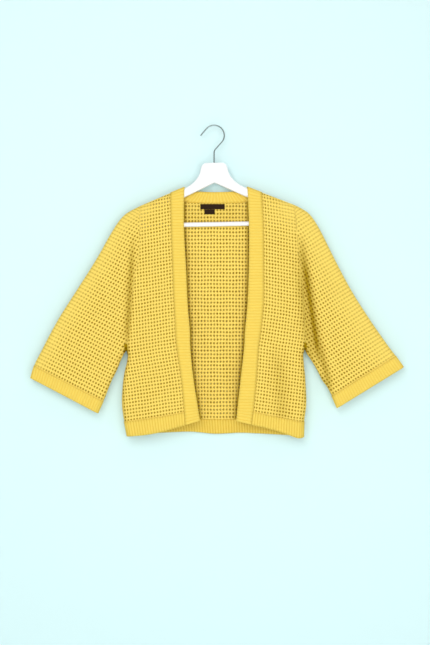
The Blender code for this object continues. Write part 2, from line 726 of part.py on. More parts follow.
def half_hanger():
    """Right half of the outline, from the middle of the top to the middle of the lower edge."""
    lug_out = BAR_HALF + LUG_WIDTH
    lug_foot = -BAR_DROP - BAR_RADIUS - LUG_BELOW
    tip = arm_top(ARM_STRAIGHT)
    near, far = ARM_END_DROPS
    corner = NECK_CORNER
    neck = arc(corner["x"], corner["z"], corner["radius"], corner["start"], corner["end"], 4)
    joins = [(x, arm_top(x)) for x in ARM_JOINS]
    flare = smooth_line([neck[-1], *NECK_FLARE, *joins], 3)[1:]
    end = smooth_line([(ARM_STRAIGHT, tip), (ARM_END_X, tip - near), (lug_out, tip - far)], 3)
    foot = arc(lug_out - LUG_CORNER, lug_foot + LUG_CORNER, LUG_CORNER, 0, -90, 3) + [(BAR_HALF, lug_foot)]
    return neck + [tuple(p) for p in flare] + [tuple(p) for p in end] + foot + list(UNDER_SIDE)


def build_hanger(material, collection, cutters):
    half = half_hanger()
    outline = half + [UNDER_APEX] + [(-x, z) for x, z in reversed(half)]
    flat = bpy.data.curves.new("hanger_outline", "CURVE")
    flat.dimensions = "2D"
    flat.fill_mode = "BOTH"
    flat.extrude = (HANGER_HALF_THICK - HANGER_EDGE) * MM
    flat.bevel_depth = HANGER_EDGE * MM
    flat.bevel_resolution = 1
    flat.offset = -HANGER_EDGE * MM
    spline = flat.splines.new("POLY")
    spline.points.add(len(outline) - 1)
    for point, (x, z) in zip(spline.points, outline):
        point.co = (x * MM, z * MM, 0.0, 1.0)
    spline.use_cyclic_u = True
    guide = bpy.data.objects.new("hanger_outline", flat)
    collection.objects.link(guide)
    guide.matrix_world = hanger_place() @ Matrix.Rotation(math.radians(90.0), 4, "X")
    bpy.context.view_layer.update()
    mesh = bpy.data.meshes.new_from_object(guide.evaluated_get(bpy.context.evaluated_depsgraph_get()))
    work = bmesh.new()
    work.from_mesh(mesh)
    bmesh.ops.remove_doubles(work, verts=work.verts, dist=0.01 * MM)
    bmesh.ops.recalc_face_normals(work, faces=work.faces)
    work.to_mesh(mesh)
    work.free()
    mesh.shade_smooth()
    mesh.set_sharp_from_angle(angle=SHARP_EDGE)
    hanger = add_object("hanger", mesh, material, collection)
    hanger.matrix_world = guide.matrix_world.copy()
    bpy.data.objects.remove(guide)
    bpy.ops.mesh.primitive_cylinder_add(
        vertices=STEM_SIDES,
        radius=(WIRE_RADIUS + SEAM_GAP) * MM,
        depth=2 * STEM_HOLE * MM,
        location=(HANGER_FOOT[0] * MM, 0.0, HANGER_FOOT[1] * MM),
    )
    hole = bpy.context.object
    hole.name = "stem_hole"
    hole.hide_render = True
    hole.display_type = "WIRE"
    for owner in list(hole.users_collection):
        owner.objects.unlink(hole)
    cutters.objects.link(hole)
    cut = hanger.modifiers.new("stem_hole", "BOOLEAN")
    cut.operation = "DIFFERENCE"
    cut.object = hole
    return hanger


def build_bar(material, collection):
    half = BAR_HALF - SEAM_GAP
    bpy.ops.mesh.primitive_cylinder_add(vertices=BAR_SIDES, radius=BAR_RADIUS * MM, depth=2 * half * MM)
    bar = bpy.context.object
    bar.name = "hanger_bar"
    turn = Matrix.Rotation(math.radians(90.0), 4, "Y")
    bar.matrix_world = hanger_place() @ Matrix.Translation((0.0, 0.0, -BAR_DROP * MM)) @ turn
    for owner in list(bar.users_collection):
        owner.objects.unlink(bar)
    collection.objects.link(bar)
    bar.data.materials.append(material)
    bar.data.shade_smooth()
    bar.data.set_sharp_from_angle(angle=SHARP_EDGE)
    return bar


def hook_points():
    """Middle line of the wire: open tip, round hook, straight run, bend and stem."""
    cx, cz = HOOK_CENTRE
    start = (cx + HOOK_RADIUS * math.cos(HOOK_START), cz + HOOK_RADIUS * math.sin(HOOK_START))
    lean = (-math.sin(HOOK_START), math.cos(HOOK_START))
    points = [(start[0] + lean[0] * HOOK_FLARE, start[1] + lean[1] * HOOK_FLARE)]
    points += arc(cx, cz, HOOK_RADIUS, math.degrees(HOOK_START), math.degrees(HOOK_END), HOOK_STEPS)
    run = (math.sin(HOOK_END), -math.cos(HOOK_END))
    x, z = points[-1]
    x += run[0] * HOOK_RUN
    z += run[1] * HOOK_RUN
    turn = math.atan2(run[1], run[0])
    bend_x = x - STEM_BEND * math.sin(turn)
    bend_z = z + STEM_BEND * math.cos(turn)
    points += arc(bend_x, bend_z, STEM_BEND, math.degrees(turn) - 90, -180, BEND_STEPS)
    points.append((points[-1][0], HANGER_FOOT[1] - STEM_HOLE + SEAM_GAP))
    return points


def build_hook(material, collection):
    wire = bpy.data.curves.new("hanger_hook", "CURVE")
    wire.dimensions = "3D"
    wire.bevel_depth = WIRE_RADIUS * MM
    wire.bevel_resolution = 2
    wire.use_fill_caps = True
    points = hook_points()
    spline = wire.splines.new("POLY")
    spline.points.add(len(points) - 1)
    for point, (x, z) in zip(spline.points, points):
        point.co = (x * MM, 0.0, z * MM, 1.0)
    return add_object("hanger_hook", wire, material, collection)


def main():
    share_rows()
    for thing in list(bpy.data.objects):
        bpy.data.objects.remove(thing)
    parts = bpy.data.collections.new("openwork_cardigan_on_hanger")
    cutters = bpy.data.collections.new("cutters")
    bpy.context.scene.collection.children.link(parts)
    bpy.context.scene.collection.children.link(cutters)
    knit = principled("openwork_knit", YARN, 0.85)
    rib = principled("ribbed_knit", YARN_RIB, 0.85)
    paint = principled("white_hanger", PAINT_WHITE, 0.35)
    steel = principled("hook_steel", STEEL, 0.2, 1.0)
    tag = principled("woven_tag", TAG_BLACK, 0.7)
    build_back(knit, parts)
    for side in ("left", "right"):
        build_front(side, knit, parts)
        build_sleeve(side, knit, parts)
        build_cuff(side, rib, parts)
    build_hems(rib, parts)
    build_band(rib, parts)
    build_tag("neck_label", LABEL, tag, parts)
    build_tag("size_tag", SIZE_TAG, tag, parts)
    build_hanger(paint, parts, cutters)
    build_bar(paint, parts)
    build_hook(steel, parts)


main()
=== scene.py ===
import math

import bmesh
import bpy
import numpy as np
from mathutils import Matrix, Vector


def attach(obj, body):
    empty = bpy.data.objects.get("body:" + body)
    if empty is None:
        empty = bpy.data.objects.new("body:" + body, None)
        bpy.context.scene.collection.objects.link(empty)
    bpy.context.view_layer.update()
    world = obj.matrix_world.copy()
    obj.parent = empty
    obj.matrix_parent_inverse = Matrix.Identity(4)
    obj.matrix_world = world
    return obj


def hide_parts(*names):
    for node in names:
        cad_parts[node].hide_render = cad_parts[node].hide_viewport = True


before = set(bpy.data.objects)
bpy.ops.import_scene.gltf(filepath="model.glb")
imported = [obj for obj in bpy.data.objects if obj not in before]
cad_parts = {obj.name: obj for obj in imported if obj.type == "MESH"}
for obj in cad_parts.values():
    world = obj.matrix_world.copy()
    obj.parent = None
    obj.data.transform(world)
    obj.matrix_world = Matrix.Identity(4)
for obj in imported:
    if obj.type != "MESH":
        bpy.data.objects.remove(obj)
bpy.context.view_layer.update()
mm = 0.001
print("frame loaded")


def rowsOf(names, *rows):
    return [dict(zip(names.split(), row)) for row in rows]


def pairs(rows, *names):
    return [tuple(float(row[name]) for name in names) for row in rows]


# The cut of the garment in millimetres: x to the right, z up, the same lines as the frame.
cloth = {
    "knitThick": 2.6,
    "ribThick": 2,
    "ribRise": 1,
    "shoulderRound": 8,
    "sideRound": 14,
    "cuffHalfDepth": 11,
    "sleeveFrom": 190,
    "sleeveFade": 150,
    "curveSteps": 10,
    "flankPast": 12,
    "bodyDepth": rowsOf(
        "z depth",
        (-140, 10), (-230, 11), (-330, 12.5), (-450, 15), (-600, 17.5), (-760, 19.5)),
    "sleeveLeft": rowsOf(
        "outerX outerZ innerX innerZ",
        (-177, -191.6, -211.3, -539.5), (-214.3, -213, -217, -548),
        (-241.5, -247.5, -223.9, -561.6), (-283.9, -321.6, -233.5, -585.6),
        (-329.5, -393.6, -245.5, -609.6), (-375.1, -465.6, -255.1, -633.6),
        (-413.5, -537.6, -262, -652), (-432.2, -575, -266, -660),
        (-441, -604, -279, -689)),
    "sleeveRight": rowsOf(
        "outerX outerZ innerX innerZ",
        (191, -189.1, 216.8, -538), (206, -196.6, 219, -541.5),
        (229, -212.6, 223.5, -549.5), (252.5, -247.5, 232.1, -561.6),
        (289.7, -321.6, 246.5, -585.6), (328.1, -393.6, 258.5, -609.6),
        (373.7, -465.6, 270.5, -626), (416.5, -527, 278, -640),
        (434.9, -551.5, 281.5, -647), (454, -578.2, 294, -676.6)),
    "armholeLeft": rowsOf(
        "x z", (-179.5, -298), (-187, -346), (-195, -394), (-205.4, -490)),
    "armholeRight": rowsOf(
        "x z", (196, -238), (201, -298), (210.5, -394), (216, -490)),
    "sideLeft": rowsOf(
        "x z",
        (-207.8, -549), (-209.5, -566), (-216.7, -598), (-220.5, -634),
        (-221.3, -670), (-216.7, -706), (-209.5, -744)),
    "sideRight": rowsOf(
        "x z",
        (213.6, -548), (214.6, -566), (217.7, -598), (220, -634),
        (220.6, -670), (216, -706), (214.5, -746)),
    "neckLeft": (-72, -146.6),
    "neckRight": (79.4, -146.2),
    "bandTopLeft": (-105, -160.7),
    "bandTopRight": (113.5, -159.3),
    "band": rowsOf(
        "z seamLeft edgeLeft edgeRight seamRight",
        (-240, -103, -72.7, 82.8, 117.6), (-330, -100, -68, 82.6, 118.4),
        (-420, -96.4, -64, 79.7, 118.2), (-490, -93, -58.3, 73.4, 111.5),
        (-530, -90, -57.2, 71.3, 106), (-600, -79.5, -50.5, 63.5, 101.5),
        (-660, -73.8, -41.3, 57, 95.8)),
    "edgeFootLeft": (-34, -706),
    "seamFootLeft": (-69.6, -717),
    "edgeFootRight": (52, -706.5),
    "seamFootRight": (89, -716),
    "neckEdge": rowsOf(
        "x z", (-64, -151.5), (-45, -156), (0, -157.7), (50, -156.2), (72, -151.5)),
    "neckSeam": rowsOf(
        "x z",
        (-97, -170.5), (-84, -178.5), (-60, -183.8), (0, -185.5),
        (62, -184.2), (92, -178), (105, -169.5)),
    "hemSide": -709,
    "hemSeamLeft": rowsOf("x z", (-134, -697)),
    "hemSeamRight": rowsOf("x z", (150, -697)),
    "hemSeamEndLeft": -686,
    "hemSeamEndRight": -684,
    "hemSeamEndBack": -709,
    "hemEdgeLeft": rowsOf("x z", (-166, -740), (-127, -733), (-98, -725)),
    "hemEdgeRight": rowsOf("x z", (198, -747), (166, -736), (130, -725)),
    "hemSeamBack": rowsOf("x z", (-120, -705.5), (0, -705), (120, -705.5)),
    "hemEdgeBack": rowsOf(
        "x z", (-130, -738), (-58, -735), (0, -740), (65, -738), (140, -741)),
    # how far a fold or a line of painted shade runs on past its ends, and the share of it that its head
    # and tail fade over
    "foldFade": (0.25, 0.5, 0.3),
    "paintedShadeFade": (0.0, 0.3, 0.2),
    "folds": rowsOf(
        "sheet x0 z0 x1 z1 width depth",
        ("front", 217.7, -326.4, 256, -552, 12, -7),
        ("front", 238, -330, 284, -545, 15, 3),
        ("front", -199.9, -302.4, -212.5, -530, 9, -6),
        ("front", -222, -330, -235, -540, 13, 3),
        ("front", 148.1, -489.6, 166.3, -734.4, 22, -4.5),
        ("front", 178, -500, 194, -734, 16, 3),
        ("front", -140, -560, -150, -740, 26, 3),
        ("back", -28, -610, -22, -715, 14, 4),
        ("back", 60, -560, 64, -735, 26, 4),
        ("back", -130, -540, -140, -735, 28, 4.5),
        ("back", 216, -330, 240, -545, 12, -6),
        ("back", -200, -310, -214, -530, 12, -6)),
    # painted shade: darker yarn laid along the folds and armhole creases, and into the gaps under the
    # arms
    "paintedShades": rowsOf(
        "sheet x0 z0 x1 z1 width share",
        ("front", -194, -255, -211, -540, 7, 0.6),
        ("front", 204, -262, 220, -420, 7, 0.5),
        ("front", 204, -255, 255, -590, 9.5, 0.95),
        ("front", 201, -290, 236, -600, 16, 0.45),
        ("front", 234, -460, 282, -650, 9, 0.55),
        ("front", 150, -520, 166, -730, 16, 0.22),
        ("front", -211.5, -518, -211, -556, 4, 2),
        ("front", 217, -512, 219, -556, 3.5, 1.4),
        ("back", 216, -320, 230, -545, 8, 0.5),
        ("back", -200, -300, -214, -530, 8, 0.5)),
}


# Lines

def smoothLine(points, steps=None):
    steps = steps or cloth["curveSteps"]
    p = [np.array(q, float) for q in points]
    p = [2 * p[0] - p[1]] + p + [2 * p[-1] - p[-2]]
    line = []
    for a, b, c, d in zip(p, p[1:], p[2:], p[3:]):
        for k in range(steps):
            t = k / steps
            line.append(0.5 * (2 * b + (c - a) * t + (2 * a - 5 * b + 4 * c - d) * t ** 2
                               + (3 * b - a - 3 * c + d) * t ** 3))
    line.append(p[-2])
    return np.array(line)


def through(start, name, end):
    # a smooth line from start to end by way of one of the cloth's lists
    return smoothLine([start] + pairs(cloth[name], "x", "z") + [end])


def reachOf(line):
    return np.concatenate([[0.0], np.cumsum(np.linalg.norm(np.diff(line, axis=0), axis=1))])


def along(line, millimetres):
    # points at a distance along a line, which runs on straight past both ends
    s = np.asarray(millimetres, float)
    reach = reachOf(line)
    inside = np.clip(s, 0.0, reach[-1])
    place = np.stack([np.interp(inside, reach, line[:, k]) for k in range(2)], axis=-1)
    head = (line[1] - line[0]) / np.linalg.norm(line[1] - line[0])
    tail = (line[-1] - line[-2]) / np.linalg.norm(line[-1] - line[-2])
    over = np.maximum(s - reach[-1], 0.0)[..., None]
    under = np.minimum(s, 0.0)[..., None]
    return place + over * tail + under * head


def crossing(line, value, axis):
    # the other coordinate of a line where its x (axis 0) or z (axis 1) is value
    order = np.argsort(line[:, axis])
    return float(np.interp(value, line[order, axis], line[order, 1 - axis]))


def aboveHeight(line, z):
    return np.vstack([line[line[:, 1] > z], [crossing(line, z, 1), z]])


def nearestOn(points, line, chunk=3000):
    # distance of each point from a line, and the nearest point of the line
    a = line[:-1]
    run = line[1:] - a
    size = np.maximum((run ** 2).sum(axis=1), 1e-12)
    gaps = []
    places = []
    for k in range(0, len(points), chunk):
        rel = points[k:k + chunk, None, :] - a[None, :, :]
        t = np.clip((rel * run).sum(axis=2) / size, 0.0, 1.0)
        off = rel - t[:, :, None] * run
        far = (off ** 2).sum(axis=2)
        best = far.argmin(axis=1)
        pick = np.arange(len(rel))
        gaps.append(np.sqrt(far[pick, best]))
        places.append(a[best] + t[pick, best][:, None] * run[best])
    return np.concatenate(gaps), np.concatenate(places)


def insidePolygon(points, polygon):
    x, z = points[:, 0], points[:, 1]
    inside = np.zeros(len(points), bool)
    for (ax, az), (bx, bz) in zip(polygon, np.roll(polygon, -1, axis=0)):
        if az == bz:
            continue
        crosses = (az > z) != (bz > z)
        inside ^= crosses & (x < (bx - ax) * (z - az) / (bz - az) + ax)
    return inside


lines = {}
for side in ("Left", "Right"):
    sleeve = cloth["sleeve" + side]
    outer = smoothLine(pairs(sleeve, "outerX", "outerZ"))
    inner = smoothLine(pairs(sleeve, "innerX", "innerZ"))
    flank = smoothLine([inner[0]] + pairs(cloth["side" + side], "x", "z"))
    neck, bandTop = cloth["neck" + side], cloth["bandTop" + side]
    lines["outer" + side] = outer
    lines["inner" + side] = inner
    lines["flank" + side] = flank
    lines["armhole" + side] = through(outer[0], "armhole" + side, inner[0])
    lines["top" + side] = np.vstack([[neck, bandTop], outer, 2 * outer[-1:] - outer[-2:-1]])
    lines["under" + side] = np.vstack([
        2 * inner[-1:] - inner[-2:-1], inner[::-1], flank[1:], [flank[-1] - (0, cloth["flankPast"])]])
    lines["edge" + side] = smoothLine(
        [neck] + pairs(cloth["band"], "edge" + side, "z") + [cloth["edgeFoot" + side]])
    lines["seam" + side] = smoothLine(
        [bandTop] + pairs(cloth["band"], "seam" + side, "z") + [cloth["seamFoot" + side]])
lines["neckEdge"] = through(cloth["neckLeft"], "neckEdge", cloth["neckRight"])
lines["neckSeam"] = np.array(
    [cloth["bandTopLeft"]] + pairs(cloth["neckSeam"], "x", "z") + [cloth["bandTopRight"]])


# The hanging cloth: a front and a back sheet that meet along the garment's outline

def rounding(gap, radius):
    return 1.0 - (1.0 - np.minimum(gap / radius, 1.0)) ** 2


def foldShares(points, sheet, kind, amount):
    # what each fold, or line of painted shade, of a sheet gives each place, fading across its line and at
    # its ends
    over, head, tail = cloth[kind + "Fade"]
    shares = [np.zeros(len(points))]
    for fold in cloth[kind + "s"]:
        if fold["sheet"] != sheet:
            continue
        a = np.array([fold["x0"], fold["z0"]], float)
        run = np.array([fold["x1"], fold["z1"]], float) - a
        t = ((points - a) @ run) / (run @ run)
        across = ((points - a) @ np.array([-run[1], run[0]])) / np.linalg.norm(run)
        fade = np.clip((t + over) / head, 0.0, 1.0) * np.clip((1.0 + over - t) / tail, 0.0, 1.0)
        shares.append(fold[amount] * fade * np.exp(-(across / fold["width"]) ** 2))
    return shares


def paintedShadeAt(points, sheet):
    # how strongly painted shade darkens each place in a fold: 0 on open cloth, 1 at the darkest
    return np.maximum.reduce(foldShares(points, sheet, "paintedShade", "share"))


def onCloth(points, sheet, lift=0.0):
    # (x, z) in millimetres to places on the cloth
    flat = points.reshape(-1, 2)
    top, under = (np.minimum(*[nearestOn(flat, lines[name + side])[0] for side in ("Left", "Right")])
                  for name in ("top", "under"))
    depths = cloth["bodyDepth"]
    body = np.interp(-flat[:, 1], [-row["z"] for row in depths], [row["depth"] for row in depths])
    out = np.clip((np.abs(flat[:, 0]) - cloth["sleeveFrom"]) / cloth["sleeveFade"], 0.0, 1.0)
    fade = out * out * (3 - 2 * out)
    half = body * (1 - fade) + cloth["cuffHalfDepth"] * fade
    half = half + sum(foldShares(flat, sheet, "fold", "depth"))
    square = half ** 2 * rounding(top, cloth["shoulderRound"]) * rounding(under, cloth["sideRound"])
    sign = -1.0 if sheet == "front" else 1.0
    y = sign * (np.sqrt(np.maximum(square, 0.0)) + lift)
    return np.stack([flat[:, 0], y, flat[:, 1]], axis=1).reshape(points.shape[:-1] + (3,))


# Node helpers

class NodeTree:
    # a short hand for adding nodes, filling their inputs and joining them
    def __init__(self, tree):
        self.tree = tree

    def feed(self, node, ins):
        for key, value in ins.items():
            if hasattr(value, "is_output"):
                self.tree.links.new(value, node.inputs[key])
            else:
                node.inputs[key].default_value = value
        return node

    def add(self, kind, ins=None, **props):
        node = self.tree.nodes.new(kind)
        for name, value in props.items():
            setattr(node, name, value)
        return self.feed(node, ins or {})

    def math(self, operation, *values):
        return self.add("ShaderNodeMath", dict(enumerate(values)), operation=operation).outputs[0]

    def plus(self, first, second):
        return self.math("ADD", first, second)

    def times(self, first, *others):
        for other in others:
            first = self.math("MULTIPLY", first, other)
        return first

    def vector(self, operation, *values):
        node = self.add("ShaderNodeVectorMath", dict(enumerate(values)), operation=operation)
        return node.outputs["Value" if operation in ("DOT_PRODUCT", "LENGTH") else "Vector"]

    def scaled(self, vector, factor):
        ins = {0: vector, "Scale": factor}
        return self.add("ShaderNodeVectorMath", ins, operation="SCALE").outputs[0]


def newSockets(tree, way, sockets):
    for label, kind in sockets:
        tree.interface.new_socket(label, in_out=way, socket_type="NodeSocket" + kind)


def newGeometryTree(name, inputs):
    tree = bpy.data.node_groups.new(name, "GeometryNodeTree")
    newSockets(tree, "INPUT", [("Geometry", "Geometry")])
    newSockets(tree, "OUTPUT", [("Geometry", "Geometry")])
    newSockets(tree, "INPUT", inputs)
    kit = NodeTree(tree)
    return tree, kit, kit.add("NodeGroupInput"), kit.add("NodeGroupOutput")


def endTree(kit, given, out, shape):
    soft = kit.add("GeometryNodeSetShadeSmooth", {"Geometry": shape})
    real = kit.add("GeometryNodeRealizeInstances", {"Geometry": soft.outputs[0]})
    last = kit.add("GeometryNodeSetMaterial", {
        "Geometry": real.outputs[0], "Material": given.outputs["Yarn"]})
    kit.feed(out, {"Geometry": last.outputs[0]})


def storedValue(kit, name, kind="FLOAT"):
    return kit.add("GeometryNodeInputNamedAttribute", {"Name": name}, data_type=kind).outputs["Attribute"]


def runTree(piece, tree, values):
    modifier = piece.modifiers.new(tree.name, "NODES")
    modifier.node_group = tree
    for socket in tree.interface.items_tree:
        if socket.in_out == "INPUT" and socket.name in values:
            modifier[socket.identifier] = values[socket.name]


# One eyelet in each cell of the net: the middle of the cell is drawn in to a slanted oval and cut out
def eyeletTree():
    tree, kit, given, out = newGeometryTree("eyelets", [
        ("Hole Width", "Float"), ("Hole Height", "Float"), ("Yarn", "Material")])
    cut = kit.add("GeometryNodeExtrudeMesh", {
        "Mesh": given.outputs["Geometry"], "Selection": storedValue(kit, "open", "BOOLEAN"),
        "Offset Scale": 0.0, "Individual": True}, mode="FACES")
    top = cut.outputs["Top"]
    centre, across, down, cellMap = (
        storedValue(kit, name, "FLOAT_VECTOR") for name in ("centre", "across", "down", "cellMap"))
    share, lean, halfWide, halfTall = (
        storedValue(kit, name) for name in ("share", "lean", "halfWide", "halfTall"))
    rel = kit.vector("SUBTRACT", kit.add("GeometryNodeInputPosition").outputs[0], centre)
    p = kit.math("DIVIDE", kit.vector("DOT_PRODUCT", rel, across), halfWide)
    q = kit.math("DIVIDE", kit.vector("DOT_PRODUCT", rel, down), halfTall)
    size = kit.math("MAXIMUM", kit.math("SQRT", kit.plus(kit.times(p, p), kit.times(q, q))), 0.001)
    wide = kit.times(given.outputs["Hole Width"], 0.5, share)
    tall = kit.times(given.outputs["Hole Height"], 0.5, share)
    qOut = kit.times(kit.math("DIVIDE", q, size), tall)
    pOut = kit.plus(kit.times(kit.math("DIVIDE", p, size), wide), kit.times(qOut, lean))
    ring = kit.vector("ADD", kit.scaled(across, pOut), kit.scaled(down, qOut))
    moved = kit.add("GeometryNodeSetPosition", {
        "Geometry": cut.outputs["Mesh"], "Selection": top, "Position": kit.vector("ADD", centre, ring)})
    # the map of the net keeps its true place round the eyelet
    mapRel = kit.add("ShaderNodeCombineXYZ", {
        "X": kit.math("DIVIDE", pOut, kit.times(halfWide, 2.0)),
        "Y": kit.math("DIVIDE", qOut, kit.times(halfTall, 2.0))})
    mapped = kit.add("GeometryNodeStoreNamedAttribute", {
        "Geometry": moved.outputs[0], "Selection": top, "Name": "netMap",
        "Value": kit.vector("ADD", cellMap, mapRel.outputs[0])}, data_type="FLOAT_VECTOR", domain="POINT")
    opened = kit.add("GeometryNodeDeleteGeometry", {"Geometry": mapped.outputs[0], "Selection": top},
                     domain="FACE", mode="ALL")
    endTree(kit, given, out, opened.outputs[0])
    return tree


# Ribs: points rise along their normal by how far round the rib they are
def ribTree():
    tree, kit, given, out = newGeometryTree("ribs", [("Rise", "Float"), ("Yarn", "Material")])
    turn = kit.times(storedValue(kit, "ribPhase"), math.pi)
    crest = kit.math("POWER", kit.math("ABSOLUTE", kit.math("SINE", turn)), ribs["crestPower"])
    normal = kit.add("GeometryNodeInputNormal").outputs[0]
    lifted = kit.add("GeometryNodeSetPosition", {
        "Geometry": given.outputs["Geometry"],
        "Offset": kit.scaled(normal, kit.times(crest, given.outputs["Rise"]))})
    endTree(kit, given, out, lifted.outputs[0])
    return tree


# Mesh helpers

# what the trees read of each cell of the net, in this order
cellLayers = (("open", "BOOLEAN"), ("centre", "FLOAT_VECTOR"), ("across", "FLOAT_VECTOR"),
              ("down", "FLOAT_VECTOR"), ("halfWide", "FLOAT"), ("halfTall", "FLOAT"), ("share", "FLOAT"),
              ("lean", "FLOAT"), ("cellMap", "FLOAT_VECTOR"))


def newPiece(name, points, faces):
    mesh = bpy.data.meshes.new(name)
    mesh.from_pydata(points, [], faces)
    piece = bpy.data.objects.new(name, mesh)
    bpy.context.scene.collection.objects.link(piece)
    return piece


def gridFaces(rows, cols, ring=False):
    return [(r * cols + c, (r + 1) % rows * cols + c, (r + 1) % rows * cols + c + 1, r * cols + c + 1)
            for r in range(rows if ring else rows - 1) for c in range(cols - 1)]


def storeOn(piece, name, values, kind="FLOAT", domain="POINT"):
    layer = piece.data.attributes.new(name, kind, domain)
    flat = np.asarray(values, bool if kind == "BOOLEAN" else np.float32).ravel()
    layer.data.foreach_set("vector" if kind == "FLOAT_VECTOR" else "value", flat)


def addWall(piece, thick, offset=-1.0):
    wall = piece.modifiers.new("wall", "SOLIDIFY")
    wall.thickness = thick * mm
    wall.offset = offset


def looksInward(corner, normal):
    # out of the garment is -y on the front and +y on the back
    return (normal[:, 1] * np.sign(corner[:, :, 1].sum(axis=1) + 1e-9)).sum() < 0


def bakePiece(piece):
    # the evaluated shape becomes the piece's own mesh, with only what the materials read
    bpy.context.view_layer.update()
    graph = bpy.context.evaluated_depsgraph_get()
    shape = bpy.data.meshes.new_from_object(
        piece.evaluated_get(graph), preserve_all_data_layers=True, depsgraph=graph)
    piece.modifiers.clear()
    old = piece.data
    piece.data = shape
    shape.name = piece.name
    bpy.data.meshes.remove(old)
    for name in ["ribPhase", *dict(cellLayers)]:
        if name in shape.attributes:
            shape.attributes.remove(shape.attributes[name])
    print(piece.name, sum(len(p.vertices) - 2 for p in shape.polygons), "triangles")
    return piece


# Materials

def shaderColour(colour):
    return (*(c / 12.92 if c <= 0.04045 else ((c + 0.055) / 1.055) ** 2.4 for c in colour), 1.0)


def newMaterial(name, colour, ins):
    material = bpy.data.materials.new(name)
    material.use_nodes = True
    kit = NodeTree(material.node_tree)
    shader = material.node_tree.nodes["Principled BSDF"]
    kit.feed(shader, {"Base Color": shaderColour(colour), **ins})
    return material, kit, shader


def noiseOf(kit, scale, detail):
    coords = kit.add("ShaderNodeTexCoord").outputs["Object"]
    return kit.add("ShaderNodeTexNoise", {"Vector": coords, "Scale": scale, "Detail": detail}).outputs[0]


def rampOf(kit, value, fromRange, toRange=(0.0, 1.0), kind="SMOOTHSTEP"):
    return kit.add("ShaderNodeMapRange", {
        "Value": value, "From Min": fromRange[0], "From Max": fromRange[1],
        "To Min": toRange[0], "To Max": toRange[1]}, interpolation_type=kind).outputs[0]


def mixOf(kit, factor, first, second, blend="MIX"):
    node = kit.add("ShaderNodeMix", data_type="RGBA", blend_type=blend)
    return kit.feed(node, {"Factor": factor, "A": first, "B": second}).outputs["Result"]


def bumpOn(kit, shader, height, strength, distance):
    bump = kit.add("ShaderNodeBump", {"Height": height, "Strength": strength, "Distance": distance})
    kit.feed(shader, {"Normal": bump.outputs[0]})


def paintedOn(kit, name):
    return kit.add("ShaderNodeAttribute", attribute_name=name, attribute_type="GEOMETRY")


# Knit stitches on a map: x counts columns, y counts courses; gives their height from 0 to 1
def stitchGroup():
    group = bpy.data.node_groups.new("knit stitches", "ShaderNodeTree")
    newSockets(group, "INPUT", [("Map", "Vector"), ("Columns", "Float"), ("Courses", "Float")])
    newSockets(group, "OUTPUT", [("Height", "Float")])
    kit = NodeTree(group)
    given = kit.add("NodeGroupInput").outputs
    split = kit.add("ShaderNodeSeparateXYZ", {0: given["Map"]}).outputs
    x = kit.math("FRACT", kit.times(split[0], given["Columns"]))
    side = kit.math("ABSOLUTE", kit.math("SUBTRACT", x, 0.5))
    course = kit.plus(kit.times(split[1], given["Courses"]), kit.times(side, yarn["legSlope"]))
    leg = kit.math("ABSOLUTE", kit.math("SINE", kit.times(x, 2 * math.pi)))
    strand = kit.math("SINE", kit.times(kit.math("FRACT", course), math.pi))
    height = kit.times(kit.math("POWER", leg, yarn["stitchPower"]), strand)
    kit.add("NodeGroupOutput", {"Height": kit.math("POWER", height, yarn["stitchPower"])})
    return group


yarn = {
    "netColour": (0.968, 0.851, 0.425),
    # each yarn's second colour is where painted shade in stitch hollows, hole rims and rib valleys, and a
    # patchy tone that differs at random, take it
    "netShadeAndTone": (0.625, 0.470, 0.000),
    "ribColour": (0.905, 0.790, 0.370),
    "bandShadeAndTone": (0.880, 0.725, 0.285),
    "hemShadeAndTone": (0.810, 0.650, 0.200),
    # the colour that painted shade in folds, gaps and seams darkens the yarn toward
    "paintedShadeColour": (0.650, 0.600, 0.150),
    # painted shade at the rims of the holes and along closed-up rows
    "rimReach": (0.19, 0.40),
    "rimVaries": 0.25,
    "courseReach": (0.05, 0.24),
    "courseShare": 0.5,
    "roughness": 0.85,
    "sheen": 0.03,
    "sheenRoughness": 0.6,
    "gloss": 0.08,
    "netStitches": (2.0, 3.0),
    "ribStitches": (1.0, 1.0),
    "legSlope": 1.3,
    "stitchPower": 0.6,
    "fibreNoise": (1400.0, 3.0),
    "patchNoise": (14.0, 4.0),
    "stitchShade": 0.7,
    "patchShade": 0.5,
    "netShade": (0.3, 0.8),
    "ribShade": 0.35,
    "valleyPower": 0.8,
    "stitchRise": 0.8,
    "fibreRise": 0.25,
    "bumpStrength": 0.7,
    "netBump": 0.0009,
    "ribBump": 0.0005,
}
stitches = stitchGroup()


def holeShade(kit, place, shade):
    # painted shade: yarn is darkened at the rim of each hole, as the shade inside it, a little more at
    # some than at others
    spot = kit.vector("SUBTRACT", kit.vector("FRACTION", place), (0.5, 0.5, 0.0))
    crest = rampOf(kit, kit.vector("LENGTH", spot), yarn["rimReach"])
    cell = kit.vector("FLOOR", place)
    chance = kit.add("ShaderNodeTexWhiteNoise", {"Vector": cell}, noise_dimensions="3D").outputs["Value"]
    strength = kit.math("SUBTRACT", 1.0, kit.times(chance, yarn["rimVaries"]))
    seen = paintedOn(kit, "rim").outputs["Fac"]
    rim = kit.times(kit.math("SUBTRACT", 1.0, crest), strength, seen)
    # where the holes close up, each row of them is drawn as one fine line of painted shade
    height = kit.math("ABSOLUTE", kit.add("ShaderNodeSeparateXYZ", {0: spot}).outputs[1])
    course = rampOf(kit, height, yarn["courseReach"], (yarn["courseShare"], 0.0))
    deepest = kit.math("MAXIMUM", rim, kit.times(course, kit.math("SUBTRACT", 1.0, seen)))
    part, base = yarn["netShade"]
    return kit.times(kit.plus(kit.times(shade, part), base), kit.math("SUBTRACT", 1.0, deepest))


